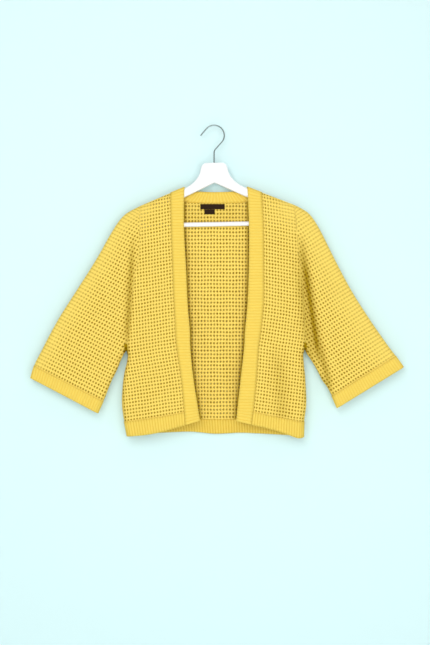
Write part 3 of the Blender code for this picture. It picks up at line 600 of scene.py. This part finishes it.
def valleyShade(kit, place, shade):
    # painted shade: the valleys between ribs are darkened
    turn = kit.add("ShaderNodeSeparateXYZ", {0: place}).outputs[0]
    crest = kit.math("ABSOLUTE", kit.math("SINE", kit.times(turn, math.pi)))
    return kit.plus(kit.times(shade, yarn["ribShade"]), kit.math("POWER", crest, yarn["valleyPower"]))


def yarnMaterial(name, kind, shadeAndTone):
    # kind is net or rib: which map, colour and stitches the yarn has
    colour = shaderColour(yarn[kind + "Colour"])
    material, kit, shader = newMaterial(name, yarn[kind + "Colour"], {
        "Roughness": yarn["roughness"], "Sheen Weight": yarn["sheen"], "Sheen Tint": colour,
        "Sheen Roughness": yarn["sheenRoughness"], "Specular IOR Level": yarn["gloss"],
        "Specular Tint": colour})
    place = paintedOn(kit, kind + "Map").outputs["Vector"]
    columns, courses = yarn[kind + "Stitches"]
    knit = kit.add("ShaderNodeGroup", node_tree=stitches)
    height = kit.feed(knit, {"Map": place, "Columns": columns, "Courses": courses}).outputs["Height"]
    # painted shade in the hollows of the stitches, with a patchy tone that differs at random
    shade = kit.plus(kit.times(height, yarn["stitchShade"]),
                     kit.times(noiseOf(kit, *yarn["patchNoise"]), yarn["patchShade"]))
    shade = (holeShade if kind == "net" else valleyShade)(kit, place, shade)
    mixed = mixOf(kit, shade, shaderColour(yarn[shadeAndTone]), colour)
    # painted shade in folds, gaps and seams, behind the band and under the neck darkens the yarn toward
    # this colour
    shadeMask = paintedOn(kit, "paintedShade").outputs["Fac"]
    kit.feed(shader, {
        "Base Color": mixOf(kit, shadeMask, mixed, shaderColour(yarn["paintedShadeColour"]), "MULTIPLY")})
    fuzz = kit.plus(kit.times(height, yarn["stitchRise"]),
                    kit.times(noiseOf(kit, *yarn["fibreNoise"]), yarn["fibreRise"]))
    bumpOn(kit, shader, fuzz, yarn["bumpStrength"], yarn[kind + "Bump"])
    return material


netYarn = yarnMaterial("openwork yarn", "net", "netShadeAndTone")
bandYarn = yarnMaterial("band yarn", "rib", "bandShadeAndTone")
hemYarn = yarnMaterial("hem yarn", "rib", "hemShadeAndTone")
print("materials of the yarn made")


# Openwork panels: a pitch, a hole and a lean of even and odd rows for each kind of panel

net = {
    "frontPitch": (7.1, 8.25),
    "sleevePitch": (7.1, 8.9),
    "backPitch": (7.6, 8.9),
    "frontHole": (1.05, 1.9),
    "sleeveHole": (1.05, 2.0),
    "backHole": (1.05, 1.9),
    "frontLean": (0.40, -0.25),
    "sleeveLean": (0.45, 0.1),
    "backLean": (0.38, -0.38),
    "frontColumns": 21,
    "sleeveColumns": 34,
    "backBox": (-232.0, 234.0, -152.0, -712.0),
    "rowsBelow": 5,
    "selvedge": 3.2,
    "leastShare": 0.4,
    "holeVaries": 0.16,
    "sineHash": (12.9898, 78.233, 43758.5453),
    "rowShift": 0.11,
    "frontDroop": (12.0, 9.0),
    "foldWidth": 40.0,
    "foldSteps": 4001,
    "leastCell": 0.05,
    "leastOpen": 0.5,
    "samePlace": 0.02,
    "wobble": 0.35,
    "longWaves": (0.083, 0.061, 0.071, 0.052),
    "shortWaves": (0.21, 0.05, 0.17, 0.04),
    "seeds": {"frontLeft": 1.0, "frontRight": 2.0, "back": 3.0, "sleeveLeft": 4.0, "sleeveRight": 5.0},
    "foldShut": 0.75,
    "foldReachLeft": 30.0,
    "foldReachRight": 48.0,
    # painted shadow of the band on the inside of the back, and painted shade under the neck
    "insideShade": 0.9,
    "insideReach": 5.0,
    "neckShade": 0.15,
    "neckShadeAt": (3.0, -205.0),
    "neckShadeReach": (100.0, 30.0),
}
eyelets = eyeletTree()


def lattice(columnCount, rowCount):
    # half steps both ways, and the grid: eight points round each cell, each cell's middle, the map
    iu, iv = np.arange(2 * columnCount + 1) / 2, np.arange(2 * rowCount + 1) / 2
    i, j = (k.ravel() for k in np.meshgrid(np.arange(columnCount), np.arange(rowCount), indexing="ij"))
    ring = [(0, 0), (1, 0), (2, 0), (2, 1), (2, 2), (1, 2), (0, 2), (0, 1)]
    cells = np.stack([(2 * i + da) * len(iv) + 2 * j + db for da, db in ring], axis=1)
    columns, rows = np.meshgrid(iu, iv, indexing="ij")
    netMap = np.stack([columns.ravel(), rows.ravel(), np.zeros(rows.size)], axis=1)
    return iu, iv, (cells, np.stack([i + 0.5, j + 0.5], axis=1), netMap)


def rowShift(v, pitch):
    # every second row of holes stands a little to one side
    return net["rowShift"] * pitch[0] * np.cos(np.pi * v / pitch[1] - np.pi / 2)


def wobble(u, v, name):
    # small even waviness, as in cloth knitted on two needles
    seed = net["seeds"][name]
    a, b, c, d = net["longWaves"]
    e, f, g, h = net["shortWaves"]
    x = np.sin(u * a + seed) * np.cos(v * b + 2 * seed) + 0.5 * np.sin(v * e + u * f + seed)
    z = np.cos(u * c + 3 * seed) * np.sin(v * d + seed) + 0.5 * np.cos(u * g - v * h + seed)
    return np.stack([x, z], axis=-1) * net["wobble"]


def polygonArea(corners):
    # corners: cells x points x 2
    x, z = corners[..., 0], corners[..., 1]
    return 0.5 * (x * np.roll(z, -1, axis=1) - z * np.roll(x, -1, axis=1)).sum(axis=1)


def netSheet(flat, grid, outline, sheet, kind, turn=1.0):
    # clip a lattice to an outline and put it on the cloth
    cells, cellPlace, netMap = grid
    flat = flat.reshape(-1, 2)
    inside = insidePolygon(flat, outline)
    clipped = flat.copy()
    clipped[~inside] = nearestOn(flat[~inside], np.vstack([outline, outline[:1]]))[1]
    pitch = net[kind + "Pitch"]
    ratio = np.abs(polygonArea(clipped[cells])) / (pitch[0] * pitch[1])
    keep = inside[cells].any(axis=1) & (ratio > net["leastCell"])
    cells, ratio, cellPlace = cells[keep], ratio[keep], cellPlace[keep]
    used, back = np.unique(cells, return_inverse=True)
    cells = back.reshape(cells.shape)
    # points that fell on the same place become one
    key = np.round(clipped[used] / net["samePlace"]).astype(np.int64)
    _, first, back = np.unique(key, axis=0, return_index=True, return_inverse=True)
    kept = used[first]
    lean = np.where(cellPlace[:, 1].astype(int) % 2 == 0, *net[kind + "Lean"]) * turn
    return onCloth(clipped[kept], sheet), back.reshape(-1)[cells], ratio, cellPlace, netMap[kept], lean


def openAt(points):
    # knit drawn tight over the sleeves' outer folds shows less of its holes: 1 where they are fully seen
    near = [nearestOn(points, lines["outer" + side])[0] / net["foldReach" + side]
            for side in ("Left", "Right")]
    return 1.0 - net["foldShut"] * np.exp(-np.minimum(*near) ** 2)


def varied(cellPlace):
    # each hole has its own size, the same on every run
    a, b, c = net["sineHash"]
    noise = np.sin(cellPlace[:, 0] * a + cellPlace[:, 1] * b) * c
    return 1.0 + net["holeVaries"] * (2 * (noise - np.floor(noise)) - 1)


def netPiece(name, sheets, holeSize):
    # sheets: what netSheet gives for each
    places, faces, netMap, cellData = [], [], [], []
    offset = 0
    flatArea = 0.0
    least = net["leastShare"]
    for place, cells, ratio, cellPlace, pointMap, lean in sheets:
        corner = place[cells]
        middle = corner.mean(axis=1)
        shares = np.clip(ratio, least, 1.0) * varied(cellPlace) * (
            least + (1 - least) * openAt(middle[:, [0, 2]]))
        if looksInward(corner, np.cross(corner[:, 2] - corner[:, 6], corner[:, 4] - corner[:, 0])):
            cells = cells[:, ::-1]
        for row, isOpen, centre, side, fall, share, lay, mapAt in zip(
                cells, ratio > net["leastOpen"], middle, corner[:, 3] - corner[:, 7],
                corner[:, 5] - corner[:, 1], shares, lean, cellPlace):
            kept = [int(k) for n, k in enumerate(row) if k != row[n - 1]]
            if len(set(kept)) != len(kept) or len(kept) < 3:
                continue
            faces.append([k + offset for k in kept])
            wide, tall = np.linalg.norm(side), np.linalg.norm(fall)
            cellData.append((
                isOpen and len(kept) == len(row), centre * mm, side / max(wide, 1e-6),
                fall / max(tall, 1e-6), wide * mm / 2, tall * mm / 2, share, lay, (*mapAt, 0.0)))
            flatArea += wide * tall * mm * mm
        places.append(place * mm)
        netMap.append(pointMap)
        offset += len(place)
    every = np.concatenate(places)
    piece = newPiece(name, every.tolist(), faces)
    for (label, kind), values in zip(cellLayers, zip(*cellData)):
        storeOn(piece, label, values, kind, "FACE")
    storeOn(piece, "netMap", np.concatenate(netMap), "FLOAT_VECTOR")
    every = every / mm
    flat = every[:, [0, 2]]
    # painted shade of the folds, on whichever sheet each point lies
    storeOn(piece, "paintedShade", np.where(every[:, 1] < 0, paintedShadeAt(flat, "front"), paintedShadeAt(flat, "back")))
    storeOn(piece, "rim", openAt(flat))
    work = bmesh.new()
    work.from_mesh(piece.data)
    bmesh.ops.remove_doubles(work, verts=work.verts, dist=net["samePlace"] * mm)
    bmesh.ops.delete(work, geom=[v for v in work.verts if not v.link_faces], context="VERTS")
    work.to_mesh(piece.data)
    work.free()
    runTree(piece, eyelets, {
        "Hole Width": holeSize[0] * mm, "Hole Height": holeSize[1] * mm, "Yarn": netYarn})
    addWall(piece, cloth["knitThick"])
    return bakePiece(piece), flatArea


def hemLines(side):
    # the seam to the net and the lower edge, from the garment's side to the band or to its other side
    near, far = ("flankLeft", "flankRight") if side == "Back" else ("flank" + side, "seam" + side)
    first, last = ((crossing(lines[name], z, 1), z) for name, z in (
        (near, cloth["hemSide"]), (far, cloth["hemSeamEnd" + side])))
    return (through(first, "hemSeam" + side, last),
            through(lines[near][-1], "hemEdge" + side, lines[far][-1]))


def frontNet(side):
    pitch = net["frontPitch"]
    seam = lines["seam" + side]
    flank = aboveHeight(lines["flank" + side], cloth["hemSide"])
    seamKept = aboveHeight(seam, cloth["hemSeamEnd" + side])
    outline = np.vstack([lines["armhole" + side], flank[1:], hemLines(side)[0][1:-1], seamKept[::-1]])
    length = reachOf(seam)[-1]
    iu, iv, grid = lattice(net["frontColumns"], int(length / pitch[1]) + net["rowsBelow"])
    # a plain strip runs beside the band before the first holes
    beside = np.where(iu < 1, iu * net["selvedge"], net["selvedge"] + (iu - 1) * pitch[0])
    u, v = np.meshgrid(beside, iv * pitch[1], indexing="ij")
    steep, level = net["frontDroop"]
    angle = np.radians(steep + (level - steep) * v / length)
    out = -1.0 if side == "Left" else 1.0
    flat = along(seam, v) + np.stack([out * u * np.cos(angle), -u * np.sin(angle)], axis=-1)
    flat[1:] += wobble(u[1:], v[1:], "front" + side)
    flat[1:, :, 0] += rowShift(v, pitch)[1:]
    sheet = netSheet(flat, grid, outline, "front", "front", out)
    return netPiece("knitFront" + side, [sheet], net["frontHole"])


def shadeInside(mesh):
    # painted shadow on the inside of the back close behind the band's edges, and a little painted shade
    # under the neck
    place = np.zeros((len(mesh.vertices), 3), np.float32)
    normal = place.copy()
    mesh.vertices.foreach_get("co", place.ravel())
    mesh.vertices.foreach_get("normal", normal.ravel())
    flat = place[:, [0, 2]] / mm
    gap = np.minimum(nearestOn(flat, lines["edgeLeft"])[0], nearestOn(flat, lines["edgeRight"])[0])
    neck = (((flat - net["neckShadeAt"]) / net["neckShadeReach"]) ** 2).sum(axis=1)
    shade = np.maximum(net["insideShade"] * np.exp(-(gap / net["insideReach"]) ** 2),
                       net["neckShade"] * np.exp(-neck)) * (normal[:, 1] < 0)
    layer = mesh.attributes["paintedShade"]
    depth = np.zeros(len(mesh.vertices), np.float32)
    layer.data.foreach_get("value", depth)
    layer.data.foreach_set("value", np.maximum(depth, shade).astype(np.float32))


def backNet():
    pitch = net["backPitch"]
    sides = []
    for side in ("Left", "Right"):
        flank = aboveHeight(lines["flank" + side], cloth["hemSide"])
        sides.append(np.vstack([lines["armhole" + side], flank[1:]]))
    outline = np.vstack([
        sides[0], hemLines("Back")[0][1:-1], sides[1][::-1], lines["neckSeam"][::-1]])
    left, right, top, foot = net["backBox"]
    iu, iv, grid = lattice(int((right - left) / pitch[0]) + 1, int((top - foot) / pitch[1]) + 1)
    u, v = np.meshgrid(iu * pitch[0], iv * pitch[1], indexing="ij")
    flat = np.stack([left + u + rowShift(v, pitch), top - v], axis=-1) + wobble(u, v, "back")
    piece, area = netPiece("knitBack", [netSheet(flat, grid, outline, "back", "back")], net["backHole"])
    shadeInside(piece.data)
    return piece, area


def sleeveNet(side):
    pitch = net["sleevePitch"]
    steps = cloth["curveSteps"]
    outer = lines["outer" + side][:-steps]
    inner = lines["inner" + side][:-steps]
    outline = np.vstack([lines["armhole" + side], inner[1:], outer[::-1][:-1]])
    cuff = inner[-1] - outer[-1]
    cuff = cuff / np.linalg.norm(cuff)
    length = reachOf(outer)[-1]
    # arc length round the fold: how far in from the fold each column lies as seen from the front
    gap = np.linspace(0.0, net["foldWidth"], net["foldSteps"])
    depth = cloth["cuffHalfDepth"] * np.sqrt(rounding(gap, cloth["shoulderRound"]))
    arc = np.concatenate([[0.0], np.cumsum(np.hypot(np.diff(gap), np.diff(depth)))])
    iu, iv, grid = lattice(net["sleeveColumns"], int(length / pitch[1]) + 2)
    seen = np.where(iu * pitch[0] < arc[-1], np.interp(iu * pitch[0], arc, gap),
                    iu * pitch[0] - arc[-1] + net["foldWidth"])
    u, v = np.meshgrid(seen, iv * pitch[1], indexing="ij")
    flat = along(outer, length - v) + u[..., None] * cuff
    ripple = wobble(u, v, "sleeve" + side) + rowShift(v, pitch)[..., None] * cuff
    ripple[0] = 0.0
    turn = 1.0 if side == "Left" else -1.0
    sheets = [netSheet(flat + ripple, grid, outline, sheet, "sleeve", turn)
              for sheet in ("front", "back")]
    return netPiece("sleeve" + side, sheets, net["sleeveHole"])


# Ribbed strips

ribs = {
    "bandPitch": 7.1,
    "neckPitch": 7.5,
    "hemPitch": 6.5,
    "cuffPitch": 6.5,
    "crestPower": 0.7,
    "stepsPerRib": 8,
    "finePlaces": 600,
    "across": 7,
    "courseSize": 2.6,
    "fan": 0.07,
    "seamShade": 0.2,
    "sideEase": 25.0,
}
ribbing = ribTree()


def acrossFrom(first, second, t, level):
    # where the second line is met from fraction t of the first: level with it, but for its ends
    if not level:
        return t
    reach = reachOf(second)
    height = along(first, t * reachOf(first)[-1])[..., 1]
    same = np.interp(-height, -second[:, 1], reach / reach[-1])
    ease = np.clip(t / ribs["fan"], 0.0, 1.0) * np.clip((1 - t) / ribs["fan"], 0.0, 1.0)
    return t + (same - t) * ease


def evenPlaces(first, second, sheet, count, level):
    # fractions of the first line that cut the strip evenly by its length on the cloth
    fine = (1 - np.cos(np.linspace(0.0, 1.0, ribs["finePlaces"]) * math.pi)) / 2
    a, b = reachOf(first)[-1], reachOf(second)[-1]
    middle = (along(first, fine * a) + along(second, acrossFrom(first, second, fine, level) * b)) / 2
    steps = np.linalg.norm(np.diff(onCloth(middle, sheet), axis=0), axis=1)
    reach = np.concatenate([[0.0], np.cumsum(steps)])
    return np.interp(np.linspace(0, reach[-1], count + 1), reach, fine), reach[-1]


def stripRun(first, second, sheet, pitch, level=False):
    ribCount = max(1, round(evenPlaces(first, second, sheet, 2, level)[1] / pitch))
    t, length = evenPlaces(first, second, sheet, ribCount * ribs["stepsPerRib"], level)
    s = np.linspace(0.0, 1.0, ribs["across"])[None, :, None]
    a = along(first, t * reachOf(first)[-1])[:, None]
    b = along(second, acrossFrom(first, second, t, level) * reachOf(second)[-1])[:, None]
    return a * (1 - s) + b * s, np.linspace(0.0, ribCount, len(t)), length


def ribPiece(name, place, phase, material, seamShade=0.0, ring=False):
    rows, cols = place.shape[:2]
    width = np.linalg.norm(place[rows // 2, -1] - place[rows // 2, 0])
    points = place.reshape(-1, 3)
    faces = gridFaces(rows, cols, ring)
    corner = points[np.array(faces)]
    normal = np.cross(corner[:, 2] - corner[:, 0], corner[:, 3] - corner[:, 1])
    if looksInward(corner, normal):
        faces = [face[::-1] for face in faces]
    flatArea = float(np.linalg.norm(normal, axis=1).sum() / 2 * mm * mm)
    piece = newPiece(name, (points * mm).tolist(), faces)
    turns = np.repeat(phase, cols)
    course = np.tile(np.linspace(0.0, width / ribs["courseSize"], cols), rows)
    # painted shade along the seam to the net, where it lies a little deeper
    seamDarkening = np.zeros((rows, cols))
    seamDarkening[:, -1] = seamShade
    storeOn(piece, "ribPhase", turns)
    storeOn(piece, "ribMap", np.stack([turns, course, course * 0], axis=1), "FLOAT_VECTOR")
    storeOn(piece, "paintedShade", seamDarkening)
    runTree(piece, ribbing, {"Rise": cloth["ribRise"] * mm, "Yarn": material})
    addWall(piece, cloth["ribThick"])
    return bakePiece(piece), flatArea


def joinRuns(runs, skipHead=0, skipTail=0):
    # strips laid end to end: their places, the turns of their ribs and their length
    parts = []
    length = start = 0.0
    for sheet, first, second, flip, pitch, level in runs:
        flat, phase, run = stripRun(first, second, sheet, pitch, level)
        place = onCloth(flat, sheet)
        kept = slice(skipHead if parts else 0, len(phase) - skipTail)
        parts.append(((place[::-1] if flip else place)[kept], phase[kept] + start))
        start += phase[-1]
        length += run
    return [np.concatenate(part) for part in zip(*parts)] + [length]


def bandPiece():
    place, phase, length = joinRuns([
        ("front", lines["edgeLeft"], lines["seamLeft"], True, ribs["bandPitch"], True),
        ("back", lines["neckEdge"], lines["neckSeam"], False, ribs["neckPitch"], False),
        ("front", lines["edgeRight"], lines["seamRight"], False, ribs["bandPitch"], True)], skipHead=1)
    return *ribPiece("ribbedBand", place, phase, bandYarn, ribs["seamShade"]), length


def cuffPiece(side):
    # both ends of the tube's two sheets
    ends = [np.array([lines[line + side][k] for line in ("outer", "inner")])
            for k in (-cloth["curveSteps"] - 1, -1)]
    runs = [(sheet, *ends, sheet == "back", ribs["cuffPitch"], False) for sheet in ("front", "back")]
    place, phase, length = joinRuns(runs, skipTail=1)
    return *ribPiece("cuff" + side, place, phase, bandYarn, ring=True), length


def alongSide(flat, row, far):
    # one end of a hem follows the garment's side, so that front and back meet
    flank = lines["flankLeft" if flat[row, 0, 0] < 0 else "flankRight"]
    s = np.linspace(0.0, 1.0, ribs["across"])
    z = flat[row, 0, 1] * (1 - s) + flank[-1, 1] * s
    x = np.interp(-z, -flank[:, 1], flank[:, 0])
    fade = np.clip(1 - far / ribs["sideEase"], 0.0, 1.0)
    return flat + fade[:, None, None] * (np.stack([x, z], axis=1) - flat[row])


def hemPiece(name, sheet, side):
    flat, phase, length = stripRun(*hemLines(side), sheet, ribs["hemPitch"])
    far = np.linspace(0.0, length, len(flat))
    flat = alongSide(flat, 0, far)
    if sheet == "back":
        flat = alongSide(flat, -1, length - far)
    return *ribPiece(name, onCloth(flat, sheet), phase, hemYarn), length


# Tags

tape = {
    "dark": (0.13, 0.07, 0.02),
    # the weave's lighter colour is painted sheen of the satin threads
    "light": (0.19, 0.12, 0.04),
    "roughness": 0.55,
    "gloss": 0.08,
    "weave": 2600.0,
    "weftShare": 1.6,
    "sheenShare": (0.25, 0.35),
    "bump": (0.3, 0.0001),
    "columns": 25,
    "rows": 9,
    "gap": 0.4,
    "lift": 0.5,
    "softEdge": 0.2,
    "pieces": rowsOf(
        "name node left right top bottom thick",
        ("neckTag", "neck_label", -33.6, 25.0, -186.9, -199.2, 0.8),
        ("sizeTag", "size_tag", -23.8, 1.2, -199.6, -211.4, 0.6)),
}


def tapeMaterial():
    material, kit, shader = newMaterial("black satin tape", tape["dark"], {
        "Roughness": tape["roughness"], "Specular IOR Level": tape["gloss"]})
    coords = kit.add("ShaderNodeTexCoord").outputs["Object"]
    split = kit.add("ShaderNodeSeparateXYZ", {0: coords}).outputs
    # a woven pattern whose threads are drawn lighter where they rise, as painted sheen of the satin
    warp = kit.math("SINE", kit.times(split[0], tape["weave"] * math.pi))
    weft = kit.math("SINE", kit.times(split[2], tape["weave"] * tape["weftShare"]))
    weave = kit.times(warp, weft)
    part, base = tape["sheenShare"]
    light = kit.plus(kit.times(weave, part), base)
    kit.feed(shader, {
        "Base Color": mixOf(kit, light, shaderColour(tape["dark"]), shaderColour(tape["light"]))})
    bumpOn(kit, shader, weave, *tape["bump"])
    return material


def tagPiece(tag, material):
    rows, cols = tape["rows"], tape["columns"]
    flat = np.stack(np.meshgrid(np.linspace(tag["left"], tag["right"], cols),
                                np.linspace(tag["top"], tag["bottom"], rows)), axis=-1)
    place = onCloth(flat, "back", -(cloth["knitThick"] + tape["gap"]))
    # the lower edge stands a little off the knit
    place[..., 1] -= tape["lift"] * (np.linspace(0.0, 1.0, rows) ** 2)[:, None]
    piece = newPiece(tag["name"], (place.reshape(-1, 3) * mm).tolist(), gridFaces(rows, cols))
    piece.data.materials.append(material)
    piece.data.shade_smooth()
    addWall(piece, tag["thick"], 1.0 if piece.data.polygons[0].normal.y < 0 else -1.0)
    edge = piece.modifiers.new("edge", "BEVEL")
    edge.width = tape["softEdge"] * mm
    edge.segments = 1
    return bakePiece(piece)


# Hanger

finishes = rowsOf(
    "name colour metallic coat grain bump roughness nodes",
    ("white satin paint", (0.925, 0.93, 0.94), 0.0, 0.2, (220.0, 2.0), (0.15, 0.0002), (0.28, 0.45),
     ("hanger", "hanger_bar")),
    ("hook steel", (0.60, 0.65, 0.655), 1.0, 0.0, (900.0, 2.0), (0.08, 0.00005), (0.14, 0.28),
     ("hanger_hook",)))


def dress(finish):
    material, kit, shader = newMaterial(finish["name"], finish["colour"], {
        "Metallic": finish["metallic"], "Coat Weight": finish["coat"]})
    grain = noiseOf(kit, *finish["grain"])
    bumpOn(kit, shader, grain, *finish["bump"])
    kit.feed(shader, {"Roughness": rampOf(kit, grain, (0.0, 1.0), finish["roughness"], "LINEAR")})
    for node in finish["nodes"]:
        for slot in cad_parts[node].material_slots:
            slot.material = material


def sewn(piece, node):
    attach(piece, "root")
    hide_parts(node)


def sewnPanel(made, node):
    piece, area = made
    sewn(piece, node)


def sewnStrip(made, node):
    piece, area, length = made
    sewn(piece, node)


for finish in finishes:
    dress(finish)
print("hanger dressed")
for side in ("Left", "Right"):
    low = side.lower()
    sewnPanel(frontNet(side), "front_" + low)
    sewnPanel(sleeveNet(side), "sleeve_" + low)
    sewnStrip(cuffPiece(side), "cuff_" + low)
    sewnStrip(hemPiece("hemFront" + side, "front", side), "hem_front_" + low)
sewnPanel(backNet(), "back_panel")
sewnStrip(hemPiece("hemBack", "back", "Back"), "hem_back")
sewnStrip(bandPiece(), "front_band")
satin = tapeMaterial()
for tag in tape["pieces"]:
    sewn(tagPiece(tag, satin), tag["node"])
print("garment sewn")


# Studio

studio = {
    "wallBehind": 0.026,
    "wallColour": (0.820, 0.925, 0.935),
    "wallRoughness": 0.95,
    "wallHalf": 1.1,
    "wallTop": 1.1,
    "floorBelow": -1.45,
    "floorColour": (0.93, 0.95, 0.95),
    "floorRoughness": 0.8,
    "floorHalf": 4.0,
    "camera": (0.0017, -3.0, -0.4716),
    "lens": 69.8,
    "sensor": 36.0,
    "farthest": 50.0,
    "lightAim": (0.0, 0.0, -0.4),
    "lights": rowsOf(
        "name place size power",
        ("key", (-0.5, -2.8, 0.3), 1.8, 35.8),
        ("fill", (0.6, -2.8, -0.8), 1.8, 28.0),
        ("behind", (0.4, 2.6, 0.8), 2.0, 110.0)),
    "skyColour": (1.0, 0.98, 0.93, 1.0),
    "skyStrength": 0.55,
}


def wallMaterial():
    # the backdrop shows only from the front and lets light through, so that the back can be looked at
    material, kit, shader = newMaterial("backdrop", studio["wallColour"], {
        "Roughness": studio["wallRoughness"]})
    path = kit.add("ShaderNodeLightPath").outputs
    passes = kit.times(path["Is Shadow Ray"], kit.math("LESS_THAN", path["Diffuse Depth"], 0.5))
    behind = kit.add("ShaderNodeNewGeometry").outputs["Backfacing"]
    mix = kit.add("ShaderNodeMixShader", {
        0: kit.math("MAXIMUM", behind, passes), 1: shader.outputs[0],
        2: kit.add("ShaderNodeBsdfTransparent").outputs[0]})
    output = next(n for n in kit.tree.nodes if n.type == "OUTPUT_MATERIAL")
    kit.feed(output, {"Surface": mix.outputs[0]})
    return material


def plane(name, corners, material):
    thing = newPiece(name, corners, [(0, 1, 2, 3)])
    thing.data.materials.append(material)


def areaLight(name, place, size, power):
    lamp = bpy.data.lights.new(name, "AREA")
    lamp.size = size
    lamp.energy = power
    thing = bpy.data.objects.new(name, lamp)
    bpy.context.scene.collection.objects.link(thing)
    turn = (Vector(place) - Vector(studio["lightAim"])).to_track_quat("Z", "Y").to_matrix().to_4x4()
    thing.matrix_world = Matrix.Translation(place) @ turn


y, floor = studio["wallBehind"], studio["floorBelow"]
half, top, wide = studio["wallHalf"], studio["wallTop"], studio["floorHalf"]
plane("backdrop", [(-half, y, floor), (half, y, floor), (half, y, top), (-half, y, top)], wallMaterial())
plane("floor", [(-wide, -wide, floor), (wide, -wide, floor), (wide, wide, floor), (-wide, wide, floor)],
      newMaterial("pale floor", studio["floorColour"], {"Roughness": studio["floorRoughness"]})[0])
for light in studio["lights"]:
    areaLight(**light)
world = bpy.data.worlds.new("studio")
bpy.context.scene.world = world
world.use_nodes = True
NodeTree(world.node_tree).feed(world.node_tree.nodes["Background"], {
    "Color": studio["skyColour"], "Strength": studio["skyStrength"]})
camera = bpy.data.cameras.new("camera")
camera.lens = studio["lens"]
camera.sensor_fit = "VERTICAL"
camera.sensor_height = studio["sensor"]
camera.clip_end = studio["farthest"]
eye = bpy.data.objects.new("camera", camera)
bpy.context.scene.collection.objects.link(eye)
eye.matrix_world = Matrix.Translation(studio["camera"]) @ Matrix.Rotation(math.radians(90.0), 4, "X")
bpy.context.scene.camera = eye
bpy.context.scene.view_settings.view_transform = "Standard"
print("studio lit")
